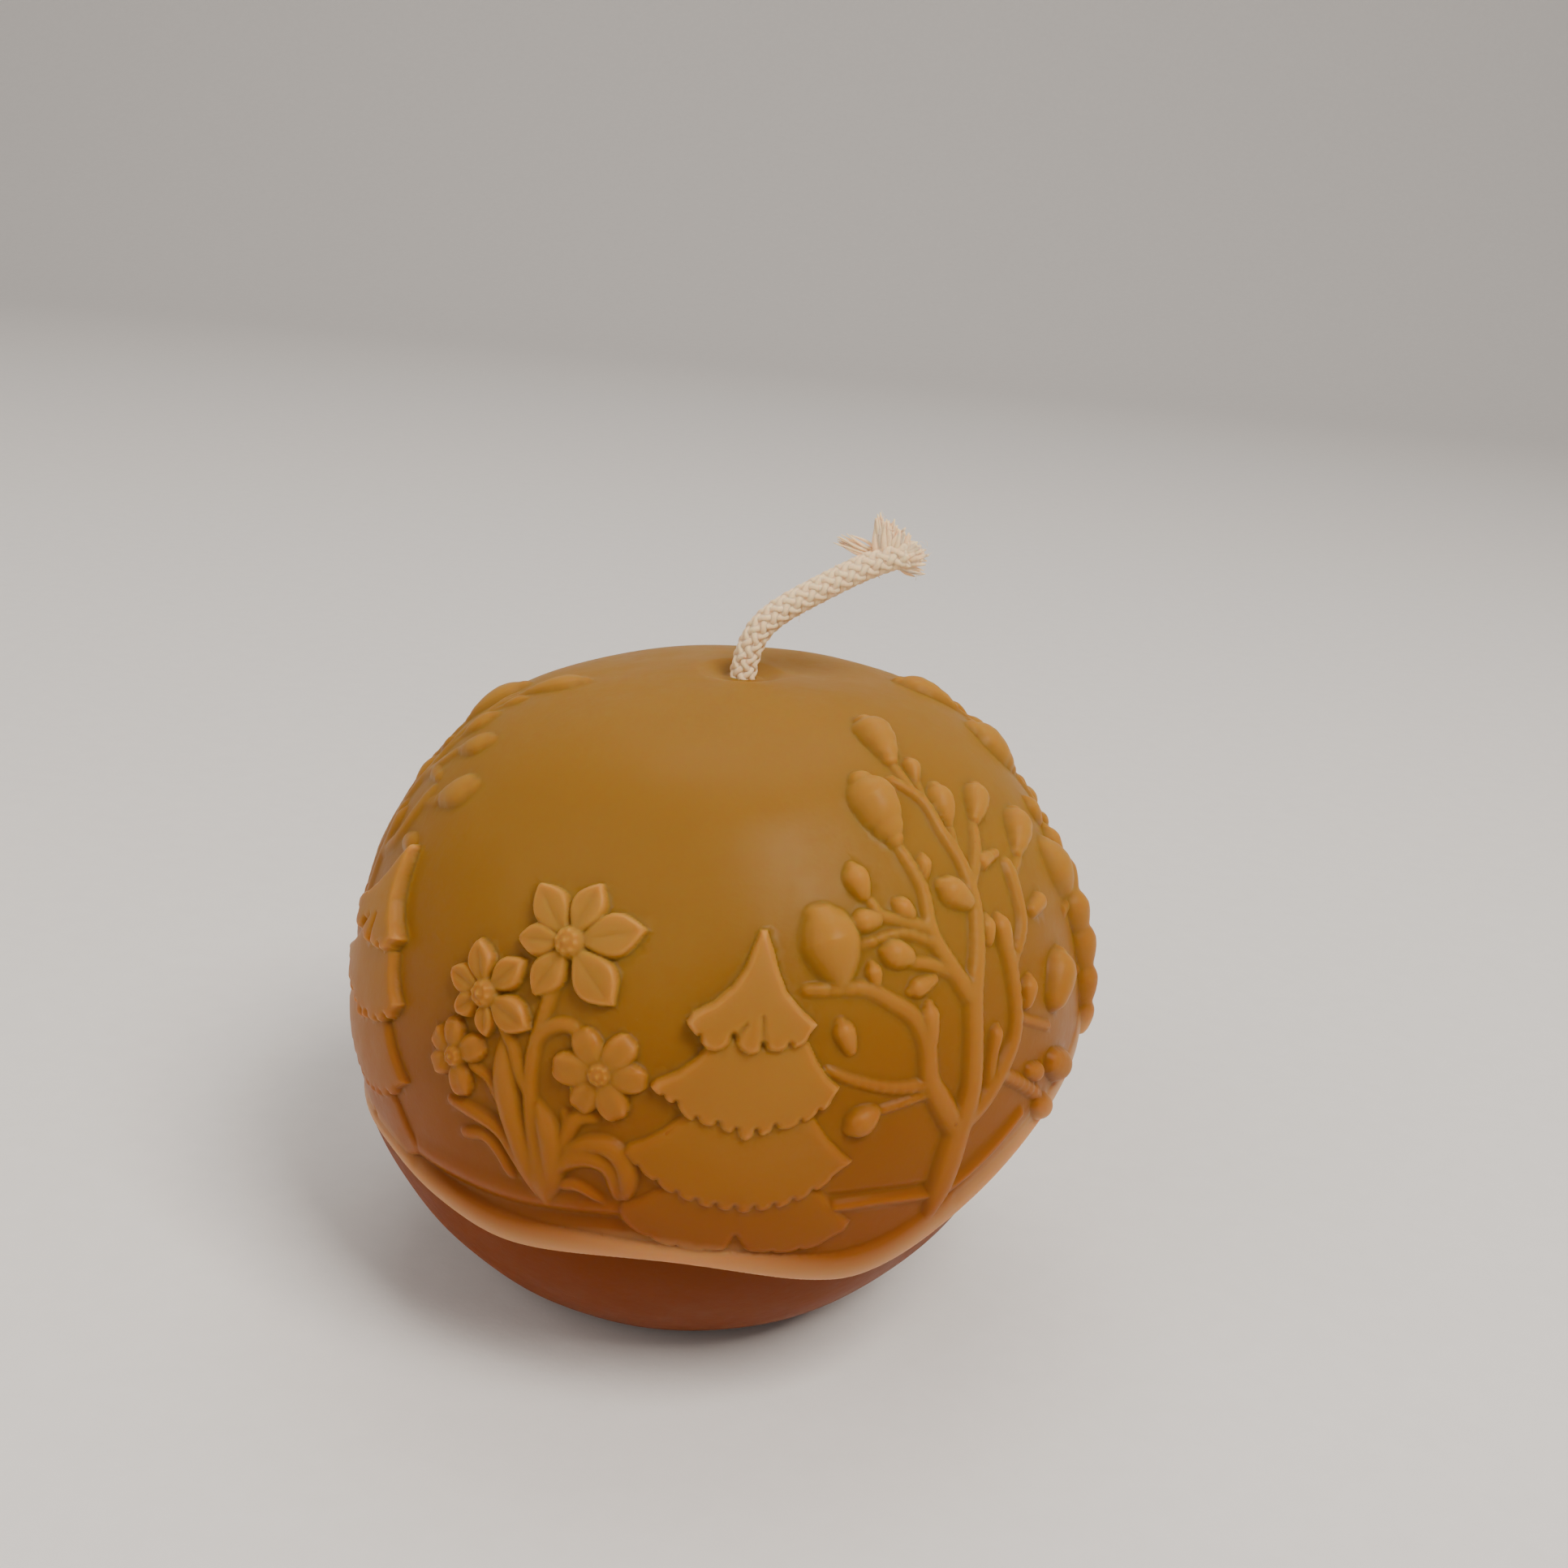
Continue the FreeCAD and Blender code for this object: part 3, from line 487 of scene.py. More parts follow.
def carve_flowers(relief, turn):
    """One group: leaves, then stems over them, then the flowers."""
    for stops in LEAVES:
        relief.ridge(curve_through(stops), 0.35, turn, SWELL, 0.8)
    for stops in STEMS:
        relief.ridge(curve_through(stops), 0.35, turn, SWELL, 0.9)
    for (lon, lat), *shape in reversed(FLOWERS):
        carve_flower(relief, lon + turn, lat, *shape)


def bud_stops(lon1, lat1, r1, lon2, lat2, r2):
    """Stops of a bud that swells from its stalk and closes to a blunt tip."""
    start = np.array([lon1, lat1])
    run = np.array([lon2, lat2]) - start
    length = max(math.hypot(run[0] * math.cos(lat2 * DEGREE), run[1]) * MM_PER_DEGREE, 0.1)
    stops = [(*(start + run * share), r1 + (r2 - r1) * part)
             for share, part in ((0.0, 0.0), (0.3, 0.5), (0.6, 0.9), (0.85, 1.0))]
    tip = start + run * (1 + 0.5 * r2 / length)
    return stops + [(*tip, 0.55 * r2)]


def carve_bush(relief, turn, beside_tree, extra, proud):
    """Branches, then the buds over them. The extra buds stand at full height on any bush."""
    def covered(lon, lat):
        return beside_tree and lon > COVERED_LON and lat < COVERED_LAT

    for stops in BRANCHES:
        if not covered(stops[-1][0], stops[-1][1]):
            relief.ridge(curve_through(stops), 0.35, turn, SWELL, 0.9 * proud)
    for bud in extra:
        relief.ridge(bud_stops(*bud), 0.4, turn)
    for bud in BUDS:
        if not covered(bud[3], bud[4]):
            relief.ridge(bud_stops(*bud), 0.2, turn, proud=proud)
    for bud in LARGEST_BUD:
        relief.ridge(bud_stops(*bud), 0.7, turn, proud=0.95 * proud)


def lip_wave(lon):
    """The lip's waves round the ball, between -1 and 1."""
    return np.cos(LIP_WAVES * (lon + LIP_WAVE_TURN) * DEGREE)


def lip_distance(directions, lon):
    """Distance above the lip, which waves along the front and climbs over the hill."""
    x = directions[:, 0] * BALL_RADIUS
    z = directions[:, 2] * BALL_RADIUS
    level = z + LIP_DROP - LIP_RISE - LIP_WAVE_HEIGHT * lip_wave(lon)
    slope = HILL_SLOPE * DEGREE
    hill = (z + LIP_DROP - HILL_RISE) * math.cos(slope) - (x - HILL_START) * math.sin(slope)
    return smooth_min(level, hill, HILL_BLEND)


def lay_snow(relief, above_lip):
    """The rounded edge along the lip, and the drifts above it."""
    half_width = (ROLL_WIDTH - ROLL_WIDTH_WAVE * lip_wave(relief.lon)) / 2
    roll = 1 - ((above_lip - half_width) / half_width) ** 2
    proud = ROLL_HEIGHT - ROLL_FALL * ramp(relief.directions[:, 0], 0.35, 0.7)
    edge = proud * np.where(roll > 0, np.sqrt(np.maximum(roll, 0)), roll)
    relief.height = smooth_max(edge, 0, 0.25)
    outer = above_lip < half_width
    relief.height[outer] = np.maximum(relief.height[outer], 0)
    for stops, height in DRIFTS:
        for turn in FLOWER_TURNS.values():
            relief.stroke([(lon + turn, lat, width) for lon, lat, width in stops], height)


def bare_radius(directions):
    """Distance from the ball's centre to the wax without its relief, down to the lip."""
    below = CROWN_RADIUS - CROWN_HEIGHT
    tilt = CROWN_TILT * DEGREE
    toward_crown = below * (directions @ np.array([-math.sin(tilt), 0.0, math.cos(tilt)]))
    crown = -toward_crown + np.sqrt(toward_crown ** 2 + CROWN_RADIUS ** 2 - below ** 2)
    side = BALL_RADIUS + LEFT_SLACK * np.minimum(directions[:, 0], 0)
    ball = smooth_min(side, crown, CROWN_BLEND)

    top = directions[:, 2] > 0.8
    x = directions[top, 0] * crown[top]
    y = directions[top, 1] * crown[top]
    from_wick = np.hypot(x, y)
    pit = PIT_DEPTH * np.clip(1 - (from_wick / PIT_RADIUS) ** 2, 0, 1) ** 1.5
    hollow = HOLLOW_DEPTH * bell(np.hypot(x - HOLLOW_PLACE[0], y - HOLLOW_PLACE[1]), HOLLOW_RADIUS)
    collar = COLLAR_HEIGHT * bell(from_wick - WICK_RADIUS, COLLAR_WIDTH)
    ball[top] += collar - pit - hollow
    return ball


def casting_radius(directions):
    """Distance from the ball's centre to the wax, the relief's height, and the height above the lip."""
    relief = Relief(directions)
    above_lip = lip_distance(directions, relief.lon)
    lay_snow(relief, above_lip)
    for turn, beside_tree, extra, proud in BUSHES.values():
        carve_bush(relief, turn, beside_tree, extra, proud)
    for turn in FLOWER_TURNS.values():
        carve_flowers(relief, turn)
    for lon, sunk in TREES.values():
        carve_tree(relief, lon, sunk)

    wobble = 0.05 * np.sin(directions @ np.array([9.0, 5.0, 7.0]) + 1.0)
    wobble += 0.03 * np.sin(directions @ np.array([-14.0, 17.0, 11.0]))
    upper = bare_radius(directions) + relief.height + wobble
    foot = FOOT_RADIUS - FOOT_LEAN * directions[:, 0] + wobble
    wall = ramp(above_lip, -0.35, 0.35)
    radius = foot + (upper - foot) * wall
    rise = directions[:, 2]
    down = np.maximum(-rise, 1e-3)
    radius = smooth_min(radius, np.where(rise < 0, CENTRE_HEIGHT / down, 1e3), BASE_BLEND)
    return radius, relief.height * wall, above_lip


def cube_sphere(cells):
    """Directions and quads of a cube blown up to a sphere, nearly even all over."""
    steps = np.arange(cells + 1)
    u, v = [grid.ravel() for grid in np.meshgrid(steps, steps, indexing="ij")]
    corner = (np.arange(cells)[:, None] * (cells + 1) + np.arange(cells)).ravel()
    cell = np.stack([corner, corner + cells + 1, corner + cells + 2, corner + 1], 1)
    low = np.zeros_like(u)
    high = low + cells
    faces = [(u, v, high), (v, u, low), (high, u, v), (low, v, u), (v, high, u), (u, low, v)]
    lattice = np.concatenate([np.stack(face, 1) for face in faces])
    quads = np.concatenate([cell + number * len(u) for number in range(len(faces))])
    keys = (lattice[:, 0] * (cells + 1) + lattice[:, 1]) * (cells + 1) + lattice[:, 2]
    _, first, welded = np.unique(keys, return_index=True, return_inverse=True)
    spread = np.tan((lattice[first] / cells * 2 - 1) * math.pi / 4)
    return spread / np.linalg.norm(spread, axis=1, keepdims=True), welded[quads]


def neighbour_mean(values, edges):
    """Each value averaged with its neighbours along the edges."""
    total = values.copy()
    count = np.ones(len(values))
    for start, end in (edges, edges[::-1]):
        total += np.bincount(start, values[end], len(values))
        count += np.bincount(start, None, len(values))
    return total / count


def add_object(name, data):
    made = bpy.data.objects.new(name, data)
    bpy.context.scene.collection.objects.link(made)
    return made


def shade_smooth(mesh):
    mesh.polygons.foreach_set("use_smooth", np.ones(len(mesh.polygons), bool))


def quad_object(name, points, faces):
    """An object from points in millimetres over the ball's centre and faces of four corners."""
    mesh = bpy.data.meshes.new(name)
    points = (np.asarray(points) + CENTRE) * MM
    faces = np.asarray(faces)
    mesh.vertices.add(len(points))
    mesh.vertices.foreach_set("co", points.ravel())
    mesh.loops.add(faces.size)
    mesh.loops.foreach_set("vertex_index", faces.ravel().astype(np.int32))
    mesh.polygons.add(len(faces))
    mesh.polygons.foreach_set("loop_start", np.arange(0, faces.size, faces.shape[1], dtype=np.int32))
    mesh.update(calc_edges=True)
    mesh.validate()
    shade_smooth(mesh)
    return add_object(name, mesh)


def store(mesh, name, values):
    """Keeps one value for each point, for the material to read."""
    attribute = mesh.attributes.new(name, "FLOAT", "POINT")
    attribute.data.foreach_set("value", np.asarray(values, np.float32))


def thin_out(piece, triangles):
    """Thins the mesh to about that many triangles, where it is smoothest first."""
    modifier = piece.modifiers.new("thin", "DECIMATE")
    modifier.ratio = min(1.0, triangles / (2 * len(piece.data.polygons)))
    view_layer = bpy.context.view_layer
    view_layer.update()
    thinned = bpy.data.meshes.new_from_object(piece.evaluated_get(view_layer.depsgraph))
    piece.modifiers.clear()
    piece.data = thinned
    shade_smooth(thinned)


CELLS = 360        # along each edge of the cube that is blown up
BLURS = 12
CASTING_TRIANGLES = 190000


def make_casting():
    """The whole casting as one closed mesh, with its relief, crests and lip as attributes."""
    directions, quads = cube_sphere(CELLS)
    radius, height, above_lip = casting_radius(directions)
    edges = np.concatenate([quads[:, [0, 1]], quads[:, [1, 2]]]).T
    blurred = height
    for _ in range(BLURS):
        blurred = neighbour_mean(blurred, edges)
    casting = quad_object("wax_casting", directions * radius[:, None], quads)
    store(casting.data, "relief", height)
    store(casting.data, "crest", height - blurred)
    store(casting.data, "above_lip", above_lip)
    thin_out(casting, CASTING_TRIANGLES)
    return casting


# ---------------------------------------------------------------- the wick

# The wick's line in the plane y = 0, as (x, height over the ball's centre).
WICK_LINE = [(-0.25, 26.5), (-0.2, 30.0), (0.15, 32.8), (1.1, 35.2), (2.9, 37.1), (6.0, 39.25),
             (9.6, 41.5), (12.2, 42.8), (13.8, 43.3)]
LANES = 6                 # strands that run each way round
STRAND_RADIUS = 0.34
WEAVE = 0.09              # how far a strand rides over the ones it crosses
BRAID_PITCH = 8.0
CORE_COVER = 0.17         # how far the core reaches past the strands' middles, to close their gaps
TUBE_SIDES = 10
PLY_SIDES = 7
FIBRE_SIDES = 4
BRAID_FIBRES = 110
BRAID_FIBRE = (0.7, 0.03)                 # length and radius of a stray fibre on the braid
TUFT_FIBRE_RADIUS = 0.025

# The loose plies at the cut end. Each fan has its line of roots, its line of tips, and the number of
# plies, their radius and their spread. The fuzz is (middle, scatter, number, length) of stray fibres.
TUFTS = {
    "upper": {
        "fans": [
            ([(11.4, 0.0, 42.7), (12.4, 0.0, 43.1), (13.2, 0.0, 43.3)],
             [(10.7, 0.4, 46.3), (12.4, 0.0, 45.8), (13.8, -0.3, 44.9)], 60, 0.32, 0.2),
            ([(10.6, 0.6, 42.6), (11.0, 0.8, 42.9), (11.4, 0.6, 43.2)],
             [(7.6, 1.4, 43.4), (7.2, 1.3, 43.9), (8.2, 1.0, 44.4)], 14, 0.17, 0.16),
        ],
        "fuzz": ((11.6, 0.2, 45.4), 0.45, 30, 0.8),
    },
    "end": {
        "fans": [
            ([(13.0, 0.0, 43.4), (13.3, 0.0, 43.0), (13.2, 0.0, 42.5)],
             [(14.1, -0.2, 44.7), (15.0, -0.2, 43.9), (15.4, -0.1, 42.9)], 52, 0.34, 0.18),
        ],
        "fuzz": ((14.9, -0.1, 43.6), 0.4, 24, 0.7),
    },
    "lower": {
        "fans": [
            ([(12.9, -0.2, 42.4), (13.1, 0.0, 42.1), (13.0, 0.2, 42.3)],
             [(15.5, 0.0, 41.9), (15.7, 0.1, 41.6), (14.9, 0.2, 41.4)], 12, 0.2, 0.12),
        ],
        "fuzz": ((15.0, 0.1, 41.8), 0.25, 12, 0.7),
    },
}


def tube(path, radii, sides):
    """Points, side quads and end triangles of a tube along a path, closed by a flat fan at each end."""
    path = np.asarray(path)
    radii = np.asarray(radii)
    along = np.gradient(path, axis=0)
    along /= np.linalg.norm(along, axis=1, keepdims=True)
    side = np.cross(along, [0.0, 1.0, 0.13])
    side /= np.linalg.norm(side, axis=1, keepdims=True)
    up = np.cross(side, along)
    angle = np.arange(sides) * 2 * math.pi / sides
    ring = side[:, None] * np.cos(angle)[:, None] + up[:, None] * np.sin(angle)[:, None]
    points = (path[:, None] + ring * radii[:, None, None]).reshape(-1, 3)
    row = np.arange(len(path) - 1)[:, None] * sides
    here = np.arange(sides)
    after = (here + 1) % sides
    quads = np.stack([row + here, row + after, row + sides + after, row + sides + here], -1).reshape(-1, 4)
    start, end = len(points), len(points) + 1
    points = np.vstack([points, path[0], path[-1]])
    last = (len(path) - 1) * sides
    caps = [(start, after[k], here[k]) for k in range(sides)]
    caps += [(end, last + here[k], last + after[k]) for k in range(sides)]
    return points, quads, caps


class Bundle:
    """Tubes gathered into one mesh."""

    def __init__(self):
        self.points = []
        self.faces = []
        self.count = 0

    def add(self, path, radii, sides=TUBE_SIDES):
        points, quads, caps = tube(path, radii, sides)
        self.points.append(points)
        for face in [*quads, *caps]:
            self.faces.append(tuple(int(corner) + self.count for corner in face))
        self.count += len(points)

    def make(self, name):
        mesh = bpy.data.meshes.new(name)
        points = (np.vstack(self.points) + CENTRE) * MM
        mesh.from_pydata(points.tolist(), [], self.faces)
        shade_smooth(mesh)
        mesh.update()
        return add_object(name, mesh)


def even_line(points, count):
    """Evenly spaced points along a smooth curve through the given ones, and their distances along it."""
    fine = curve_through(points, 12)
    run = np.concatenate([[0], np.cumsum(np.linalg.norm(np.diff(fine, axis=0), axis=1))])
    wanted = np.linspace(0, run[-1], count)
    return np.stack([np.interp(wanted, run, fine[:, axis]) for axis in range(3)], 1), wanted


def wick_line(count):
    return even_line([(x, 0.0, z) for x, z in WICK_LINE], count)


def make_braid():
    """Strands that run both ways round the wick and pass over and under each other."""
    core, run = wick_line(170)
    along = np.gradient(core, axis=0)
    along /= np.linalg.norm(along, axis=1, keepdims=True)
    side = np.tile([0.0, 1.0, 0.0], (len(core), 1))
    up = np.cross(side, along)
    bundle = Bundle()
    reach = WICK_RADIUS - STRAND_RADIUS - WEAVE
    turned = 2 * math.pi * run / BRAID_PITCH
    for strand in range(2 * LANES):
        way = 1 if strand % 2 else -1
        lane = strand // 2
        angle = way * (turned + lane * 2 * math.pi / LANES)
        out = reach + WEAVE * way * np.cos(LANES * turned)
        path = core + side * (np.cos(angle) * out)[:, None] + up * (np.sin(angle) * out)[:, None]
        bundle.add(path, np.full(len(path), STRAND_RADIUS))
    bundle.add(core, np.full(len(core), reach + CORE_COVER))
    return bundle


def fan(bundle, random, roots, tips, plies, radius, spread):
    """Loose plies from a line of roots to a line of tips, each with its own bend and a thin end."""
    starts, _ = even_line(roots, plies)
    ends, _ = even_line(tips, plies)
    for start, end in zip(starts, ends):
        start = start + random.normal(0, spread * 0.5, 3)
        end = start + (end - start) * random.uniform(0.85, 1.08) + random.normal(0, spread, 3)
        bend = (start + end) / 2 + random.normal(0, spread * 0.7, 3)
        path, _ = even_line([start, bend, end], 12)
        share = np.linspace(0, 1, len(path))
        bundle.add(path, radius * (1 - 0.8 * share ** 2.5), PLY_SIDES)


def fuzz(bundle, random, places, length, radius):
    """Single fibres that stand off the cotton."""
    for place in places:
        away = random.normal(0, 1, 3)
        away /= np.linalg.norm(away)
        bend = random.normal(0, 0.25, 3)
        stretch = length * random.uniform(0.5, 1.3)
        path = [place, place + (away + bend) * stretch * 0.5, place + (away - bend * 0.6) * stretch]
        fibre, _ = even_line(path, 7)
        bundle.add(fibre, np.linspace(radius, radius * 0.5, len(fibre)), FIBRE_SIDES)


def add_braid_fuzz(bundle, random):
    """Stray fibres all round the braid."""
    shares = random.uniform(0.12, 1.0, BRAID_FIBRES)
    core, _ = wick_line(400)
    places = []
    for share in shares:
        spot = core[int(share * (len(core) - 1))]
        angle = random.uniform(0, 2 * math.pi)
        places.append(spot + np.array([0.0, math.cos(angle), math.sin(angle)]) * WICK_RADIUS * 0.9)
    fuzz(bundle, random, places, *BRAID_FIBRE)


def make_tuft(name, random):
    tuft = TUFTS[name]
    bundle = Bundle()
    for roots, tips, plies, radius, spread in tuft["fans"]:
        fan(bundle, random, roots, tips, plies, radius, spread)
    middle, scatter, count, length = tuft["fuzz"]
    places = random.normal(0, scatter, (count, 3)) + middle
    fuzz(bundle, random, places, length, TUFT_FIBRE_RADIUS)
    return bundle.make("wick_tuft_" + name)


# ---------------------------------------------------------------- materials


class Shader:
    """A Principled material that nodes are added to by name."""

    def __init__(self, name):
        self.material = bpy.data.materials.new(name)
        self.material.use_nodes = True
        self.nodes = self.material.node_tree.nodes
        self.links = self.material.node_tree.links
        self.surface = self.nodes["Principled BSDF"]

    def node(self, kind, inputs=None, **settings):
        made = self.nodes.new("ShaderNode" + kind)
        for key, value in settings.items():
            setattr(made, key, value)
        for key, value in (inputs or {}).items():
            self.feed(made, key, value)
        return made

    def feed(self, node, key, value):
        if isinstance(value, bpy.types.NodeSocket):
            self.links.new(value, node.inputs[key])
        else:
            node.inputs[key].default_value = value

    def set(self, key, value):
        self.feed(self.surface, key, value)

    def noise(self, scale, detail=3.0, roughness=0.5, stretch=(1, 1, 1)):
        place = self.node("TexCoord").outputs["Object"]
        mapped = self.node("Mapping", {"Vector": place, "Scale": stretch}).outputs["Vector"]
        return self.node(
            "TexNoise", {"Vector": mapped, "Scale": scale, "Detail": detail, "Roughness": roughness},
        ).outputs["Fac"]

    def attribute(self, name):
        return self.node("Attribute", attribute_name=name).outputs["Fac"]

    def range(self, value, low, high, to_low=0.0, to_high=1.0):
        return self.node("MapRange", {
            "Value": value, "From Min": low, "From Max": high, "To Min": to_low, "To Max": to_high,
        }).outputs["Result"]

    def math(self, operation, first, second):
        return self.node("Math", {0: first, 1: second}, operation=operation).outputs["Value"]

    def mix(self, share, first, second):
        """Two colours mixed; the sockets go by number, because several kinds share one name."""
        made = self.node("Mix", data_type="RGBA")
        self.feed(made, 0, share)
        self.feed(made, 6, first)
        self.feed(made, 7, second)
        return made.outputs[2]

    def bump(self, height, distance, strength=1.0, normal=None):
        inputs = {"Height": height, "Distance": distance, "Strength": strength}
        if normal is not None:
            inputs["Normal"] = normal
        return self.node("Bump", inputs).outputs["Normal"]


GOLD = (0.245, 0.115, 0.014, 1)           # the bare ball, high up
AMBER_AND_BOUNCE_SHADE = (0.185, 0.050, 0.005, 1)          # the bare ball low down: partly its deeper tone, partly painted red bounce light and shade
TAN_GLOW = (0.345, 0.168, 0.026, 1)            # the relief high up, lighter than the bare ball: painted glow of light through thin wax
BROWN_GLOW_AND_BOUNCE = (0.240, 0.080, 0.012, 1)          # the relief low down: painted glow, and partly painted red bounce light and shade
BLOOM_AND_GLOW = (0.600, 0.340, 0.150, 1)            # crests and the lip: bloom, with a painted highlight on the crests and a painted glow along the lip
# the wax below the lip, darkened: painted shade
FOOT_SHADE = (0.128, 0.026, 0.003, 1)
CREAM = (1.0, 0.69, 0.4, 1)
SHADED_CREAM = (1.0, 0.57, 0.32, 1)
PAPER = (0.80, 0.77, 0.74, 1)
PAPER_FLECK = (0.74, 0.71, 0.68, 1)


def wax_material():
    """Beeswax: translucent gold, darker and redder low down, partly in its own tone and partly with
    painted red bounce light and shade. The relief has a painted glow, the crests bloom and a painted
    highlight, the lip a painted glow, and the foot painted shade.
    """
    shader = Shader("beeswax")
    place = shader.node("SeparateXYZ", {"Vector": shader.node("TexCoord").outputs["Object"]})
    cloud = shader.noise(45.0, 3.0)
    # Darker and redder low down: partly the wax's deeper tone, partly painted red bounce light and shade.
    height = shader.math("ADD", place.outputs["Z"], shader.range(cloud, 0.3, 0.7, -0.004, 0.004))
    low = shader.range(height, 0.050, 0.022)
    # The relief is lighter than the bare ball: painted glow of light scattered through the thin wax.
    raised = shader.range(shader.attribute("relief"), 0.1, 0.8, 0.0, 0.8)
    colour = shader.mix(raised, shader.mix(low, GOLD, AMBER_AND_BOUNCE_SHADE), shader.mix(low, TAN_GLOW, BROWN_GLOW_AND_BOUNCE))
    grain = shader.noise(900.0, 4.0, 0.6)
    # Paler crests: the wax's bloom, with a painted highlight.
    crest = shader.math("MULTIPLY", shader.range(shader.attribute("crest"), 0.12, 0.5, 0.0, 1.0),
                        shader.range(grain, 0.3, 0.65, 0.35, 1.0))
    colour = shader.mix(shader.math("MULTIPLY", crest, 0.35), colour, BLOOM_AND_GLOW)
    # Paler along the lip: painted glow and highlight of light through its thin edge.
    above_lip = shader.attribute("above_lip")
    colour = shader.mix(shader.range(above_lip, 3.0, 1.0, 0.0, 0.45), colour, BLOOM_AND_GLOW)
    # Below the lip the wax is darkened: painted shade.
    under = shader.range(above_lip, 0.1, -0.6)
    colour = shader.mix(under, colour, FOOT_SHADE)
    shader.set("Base Color", colour)
    shader.set("Subsurface Weight", 1.0)
    shader.set("Subsurface Radius", (1.0, 0.42, 0.12))
    shader.set("Subsurface Scale", 0.003)
    shader.set("IOR", 1.4)
    gloss = shader.math("ADD", shader.range(under, 0.0, 1.0, 0.14, 0.05),
                        shader.math("MULTIPLY", crest, 0.2))
    shader.set("Specular IOR Level", gloss)
    shader.set("Specular Tint", (1.0, 0.86, 0.68, 1))
    smear = shader.noise(160.0, 4.0, 0.6)
    shader.set("Roughness", shader.math("ADD", shader.range(smear, 0.3, 0.7, 0.34, 0.48),
                                        shader.math("MULTIPLY", crest, -0.08)))
    fine = shader.bump(grain, 0.00004, 0.5)
    shader.set("Normal", shader.bump(smear, 0.0002, 0.35, fine))
    return shader.material


def cotton_material():
    """Undyed cotton: warm cream plies with fine twisted fibres and a soft sheen."""
    shader = Shader("undyed_cotton")
    fibre = shader.noise(2600.0, 5.0, 0.65, (1, 1, 0.35))
    shader.set("Base Color", shader.mix(shader.range(fibre, 0.3, 0.65), SHADED_CREAM, CREAM))
    shader.set("Roughness", 0.85)
    shader.set("Specular IOR Level", 0.2)
    shader.set("Sheen Weight", 0.08)
    shader.set("Sheen Roughness", 0.5)
    shader.set("Subsurface Weight", 0.6)
    shader.set("Subsurface Radius", (1.0, 0.7, 0.45))
    shader.set("Subsurface Scale", 0.0004)
    shader.set("Normal", shader.bump(fibre, 0.00012, 0.8))
    return shader.material


def floor_material():
    """Pale matt paper with a faint fleck."""
    shader = Shader("pale_paper")
    fleck = shader.noise(300.0, 5.0, 0.6)
    shader.set("Base Color", shader.mix(fleck, PAPER_FLECK, PAPER))
    shader.set("Roughness", 0.9)
    shader.set("Normal", shader.bump(fleck, 0.0002, 0.3))
    return shader.material


# ---------------------------------------------------------------- the pieces


def finish_piece(piece, material, slot, *nodes):
    """Gives the piece its material and puts it in place of the CAD nodes."""
    piece.data.materials.append(material)
    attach(piece, "root")
    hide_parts(*nodes)


def build_candle():
    wax = wax_material()
    cotton = cotton_material()
    wax_nodes = [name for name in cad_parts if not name.startswith("wick")]
    finish_piece(make_casting(), wax, "ball_wax", *wax_nodes)

    random = np.random.default_rng(7)
    braid = make_braid()
    add_braid_fuzz(braid, random)
    finish_piece(braid.make("wick_braid"), cotton, "cotton_wick", "wick")
    for name in TUFTS:
        finish_piece(make_tuft(name, random), cotton, "cotton_wick", "wick_fray_" + name)


# ---------------------------------------------------------------- stage, light and camera


def make_stage():
    """A floor that curves up into a backdrop."""
    width = 3.0
    front = -1.5
    bend_start = 0.9
    bend = 0.5
    steps = 16
    profile = [(front, 0.0), (bend_start, 0.0)]
    for step in range(1, steps + 1):
        angle = step / steps * math.pi / 2
        profile.append((bend_start + bend * math.sin(angle), bend - bend * math.cos(angle)))
    profile.append((bend_start + bend, 2.0))
    points = [(x, y, z) for y, z in profile for x in (-width / 2, width / 2)]
    faces = [(2 * k, 2 * k + 1, 2 * k + 3, 2 * k + 2) for k in range(len(profile) - 1)]
    mesh = bpy.data.meshes.new("floor")
    mesh.from_pydata(points, [], faces)
    shade_smooth(mesh)
    floor = add_object("floor", mesh)
    mesh.materials.append(floor_material())


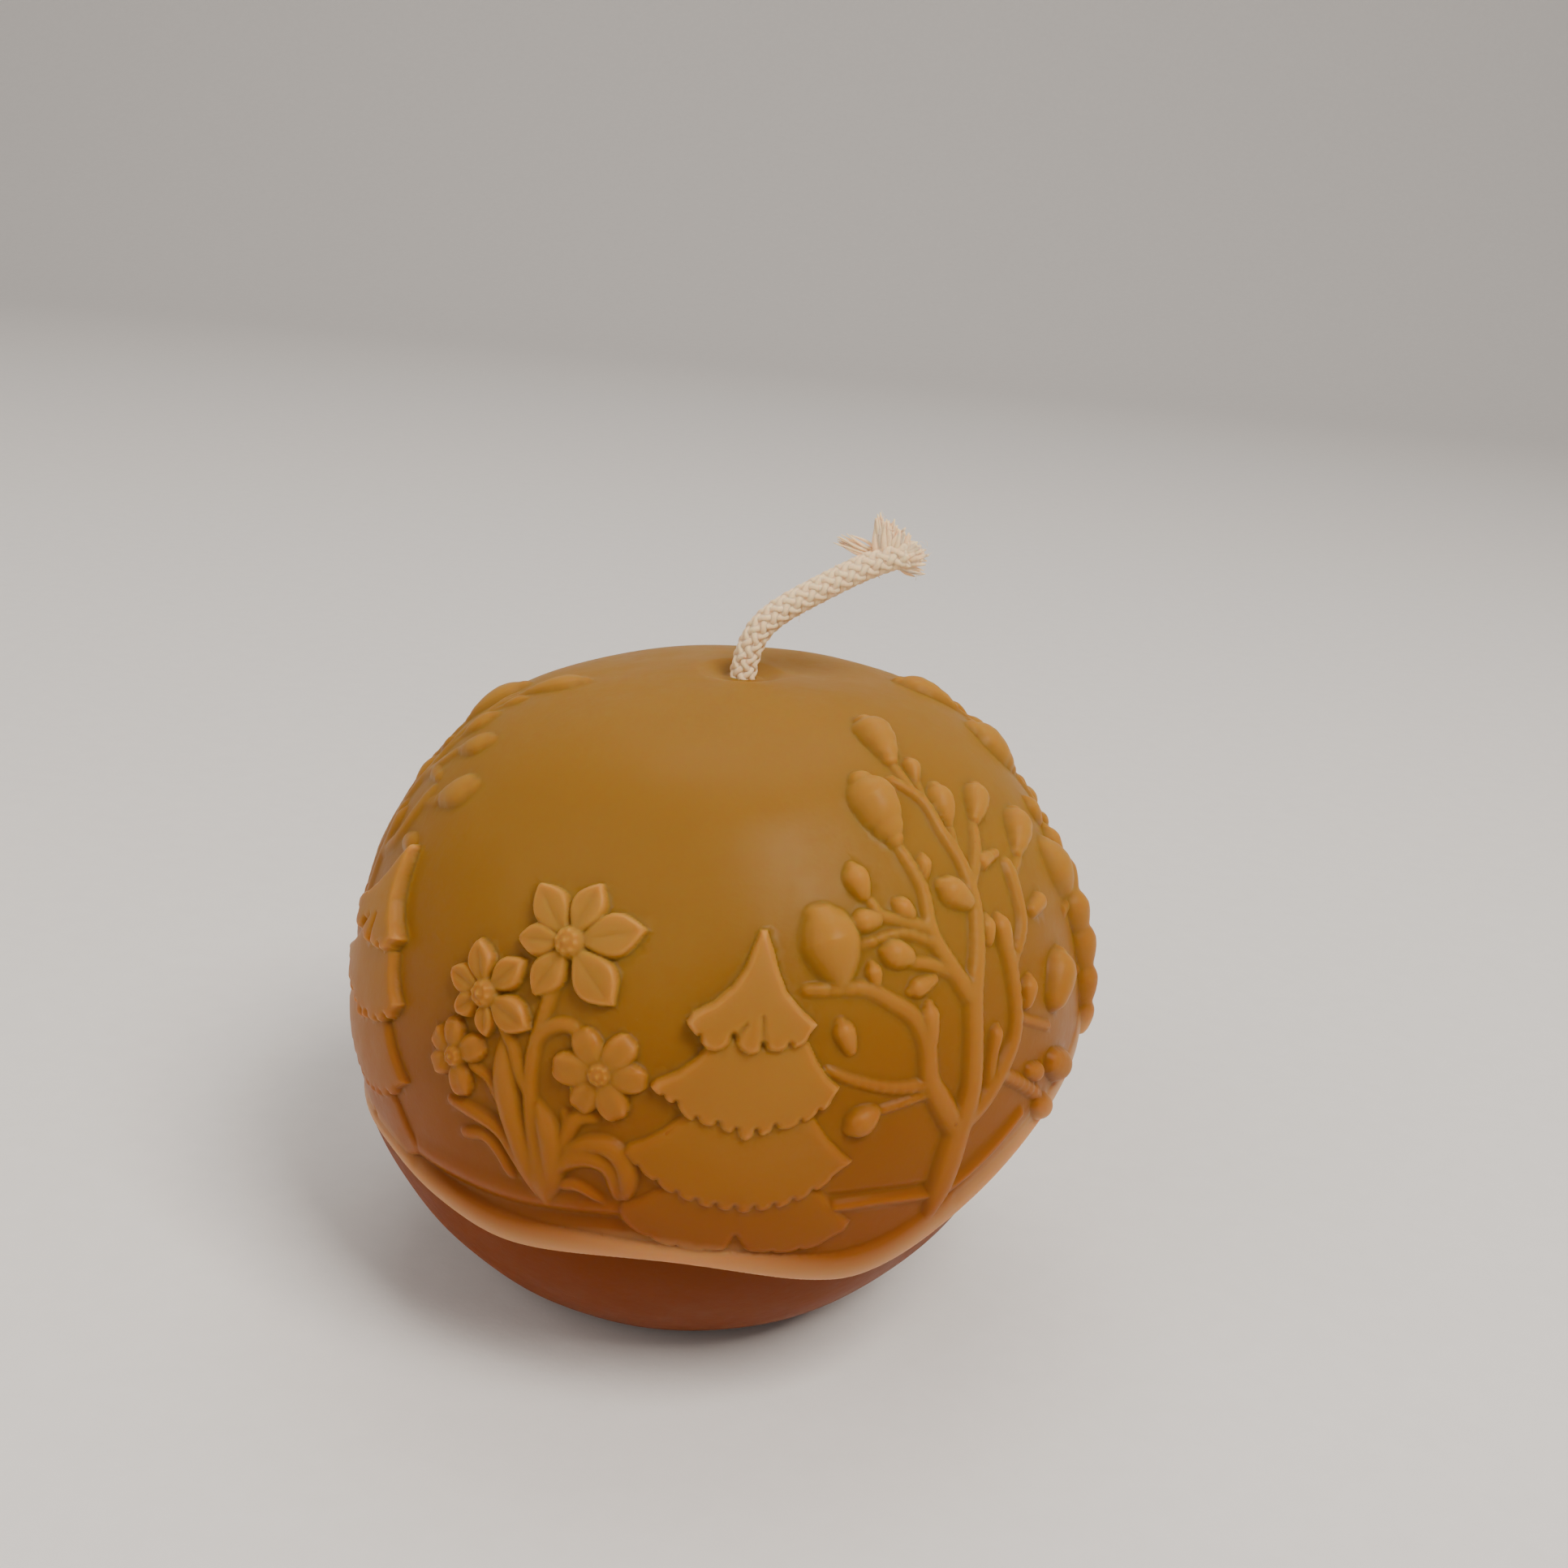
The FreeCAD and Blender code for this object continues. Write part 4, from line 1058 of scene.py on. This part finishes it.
# Each square lamp: azimuth, elevation, distance and side in metres, power and colour. Azimuth 0 is
# behind the camera, 90 is +X.
LAMPS = {
    "key": (38, 52, 0.9, 0.35, 9.0, (1.0, 0.95, 0.88)),
    "fill": (-50, 30, 1.0, 0.8, 3.5, (1.0, 0.93, 0.88)),
    "top": (180, 70, 0.9, 0.6, 2.5, (1.0, 0.96, 0.92)),
}
SURROUNDINGS = (1.0, 0.96, 0.93, 1)


def add_lamp(name, azimuth, elevation, distance, side, power, colour):
    """A square lamp that faces the candle."""
    lamp = bpy.data.lights.new(name, "AREA")
    lamp.shape = "SQUARE"
    lamp.size = side
    lamp.energy = power
    lamp.color = colour
    light = add_object(name, lamp)
    away = Vector(direction(azimuth, elevation))
    target = Vector(CENTRE * MM)
    light.location = target + away * distance
    light.rotation_euler = away.to_track_quat("Z", "Y").to_euler()


def make_lights():
    for name, settings in LAMPS.items():
        add_lamp(name, *settings)
    world = bpy.data.worlds.new("studio")
    world.use_nodes = True
    background = world.node_tree.nodes["Background"]
    background.inputs["Color"].default_value = SURROUNDINGS
    background.inputs["Strength"].default_value = 0.35
    bpy.context.scene.world = world


def make_camera():
    """Close and a little above, with the ball below and left of the middle and the horizon rolled."""
    distance = 185.0
    elevation = 24.0 * DEGREE
    left_of_axis = 2.009 * DEGREE
    below_axis = 5.859 * DEGREE
    roll = 5.0 * DEGREE
    data = bpy.data.cameras.new("camera")
    data.sensor_width = 36.0
    data.lens = 43.04
    data.clip_start = 0.01
    data.clip_end = 20.0
    away = Vector((0, -math.cos(elevation), math.sin(elevation)))
    aim = Vector((-math.tan(left_of_axis), -math.tan(below_axis), -1)).normalized()
    upright = (Vector((0, 1, 0)) - aim * aim.y).normalized()
    upright = upright * math.cos(roll) + aim.cross(upright) * math.sin(roll)
    world_up = (Vector((0, 0, 1)) + away * -away.z).normalized()
    seen = Matrix((aim, upright, aim.cross(upright))).transposed()
    real = Matrix((-away, world_up, (-away).cross(world_up))).transposed()
    camera = add_object("camera", data)
    placed = (real @ seen.transposed()).to_4x4()
    placed.translation = Vector(CENTRE * MM) + away * distance * MM
    camera.matrix_world = placed
    bpy.context.scene.camera = camera


make_camera()
make_lights()
make_stage()
build_candle()
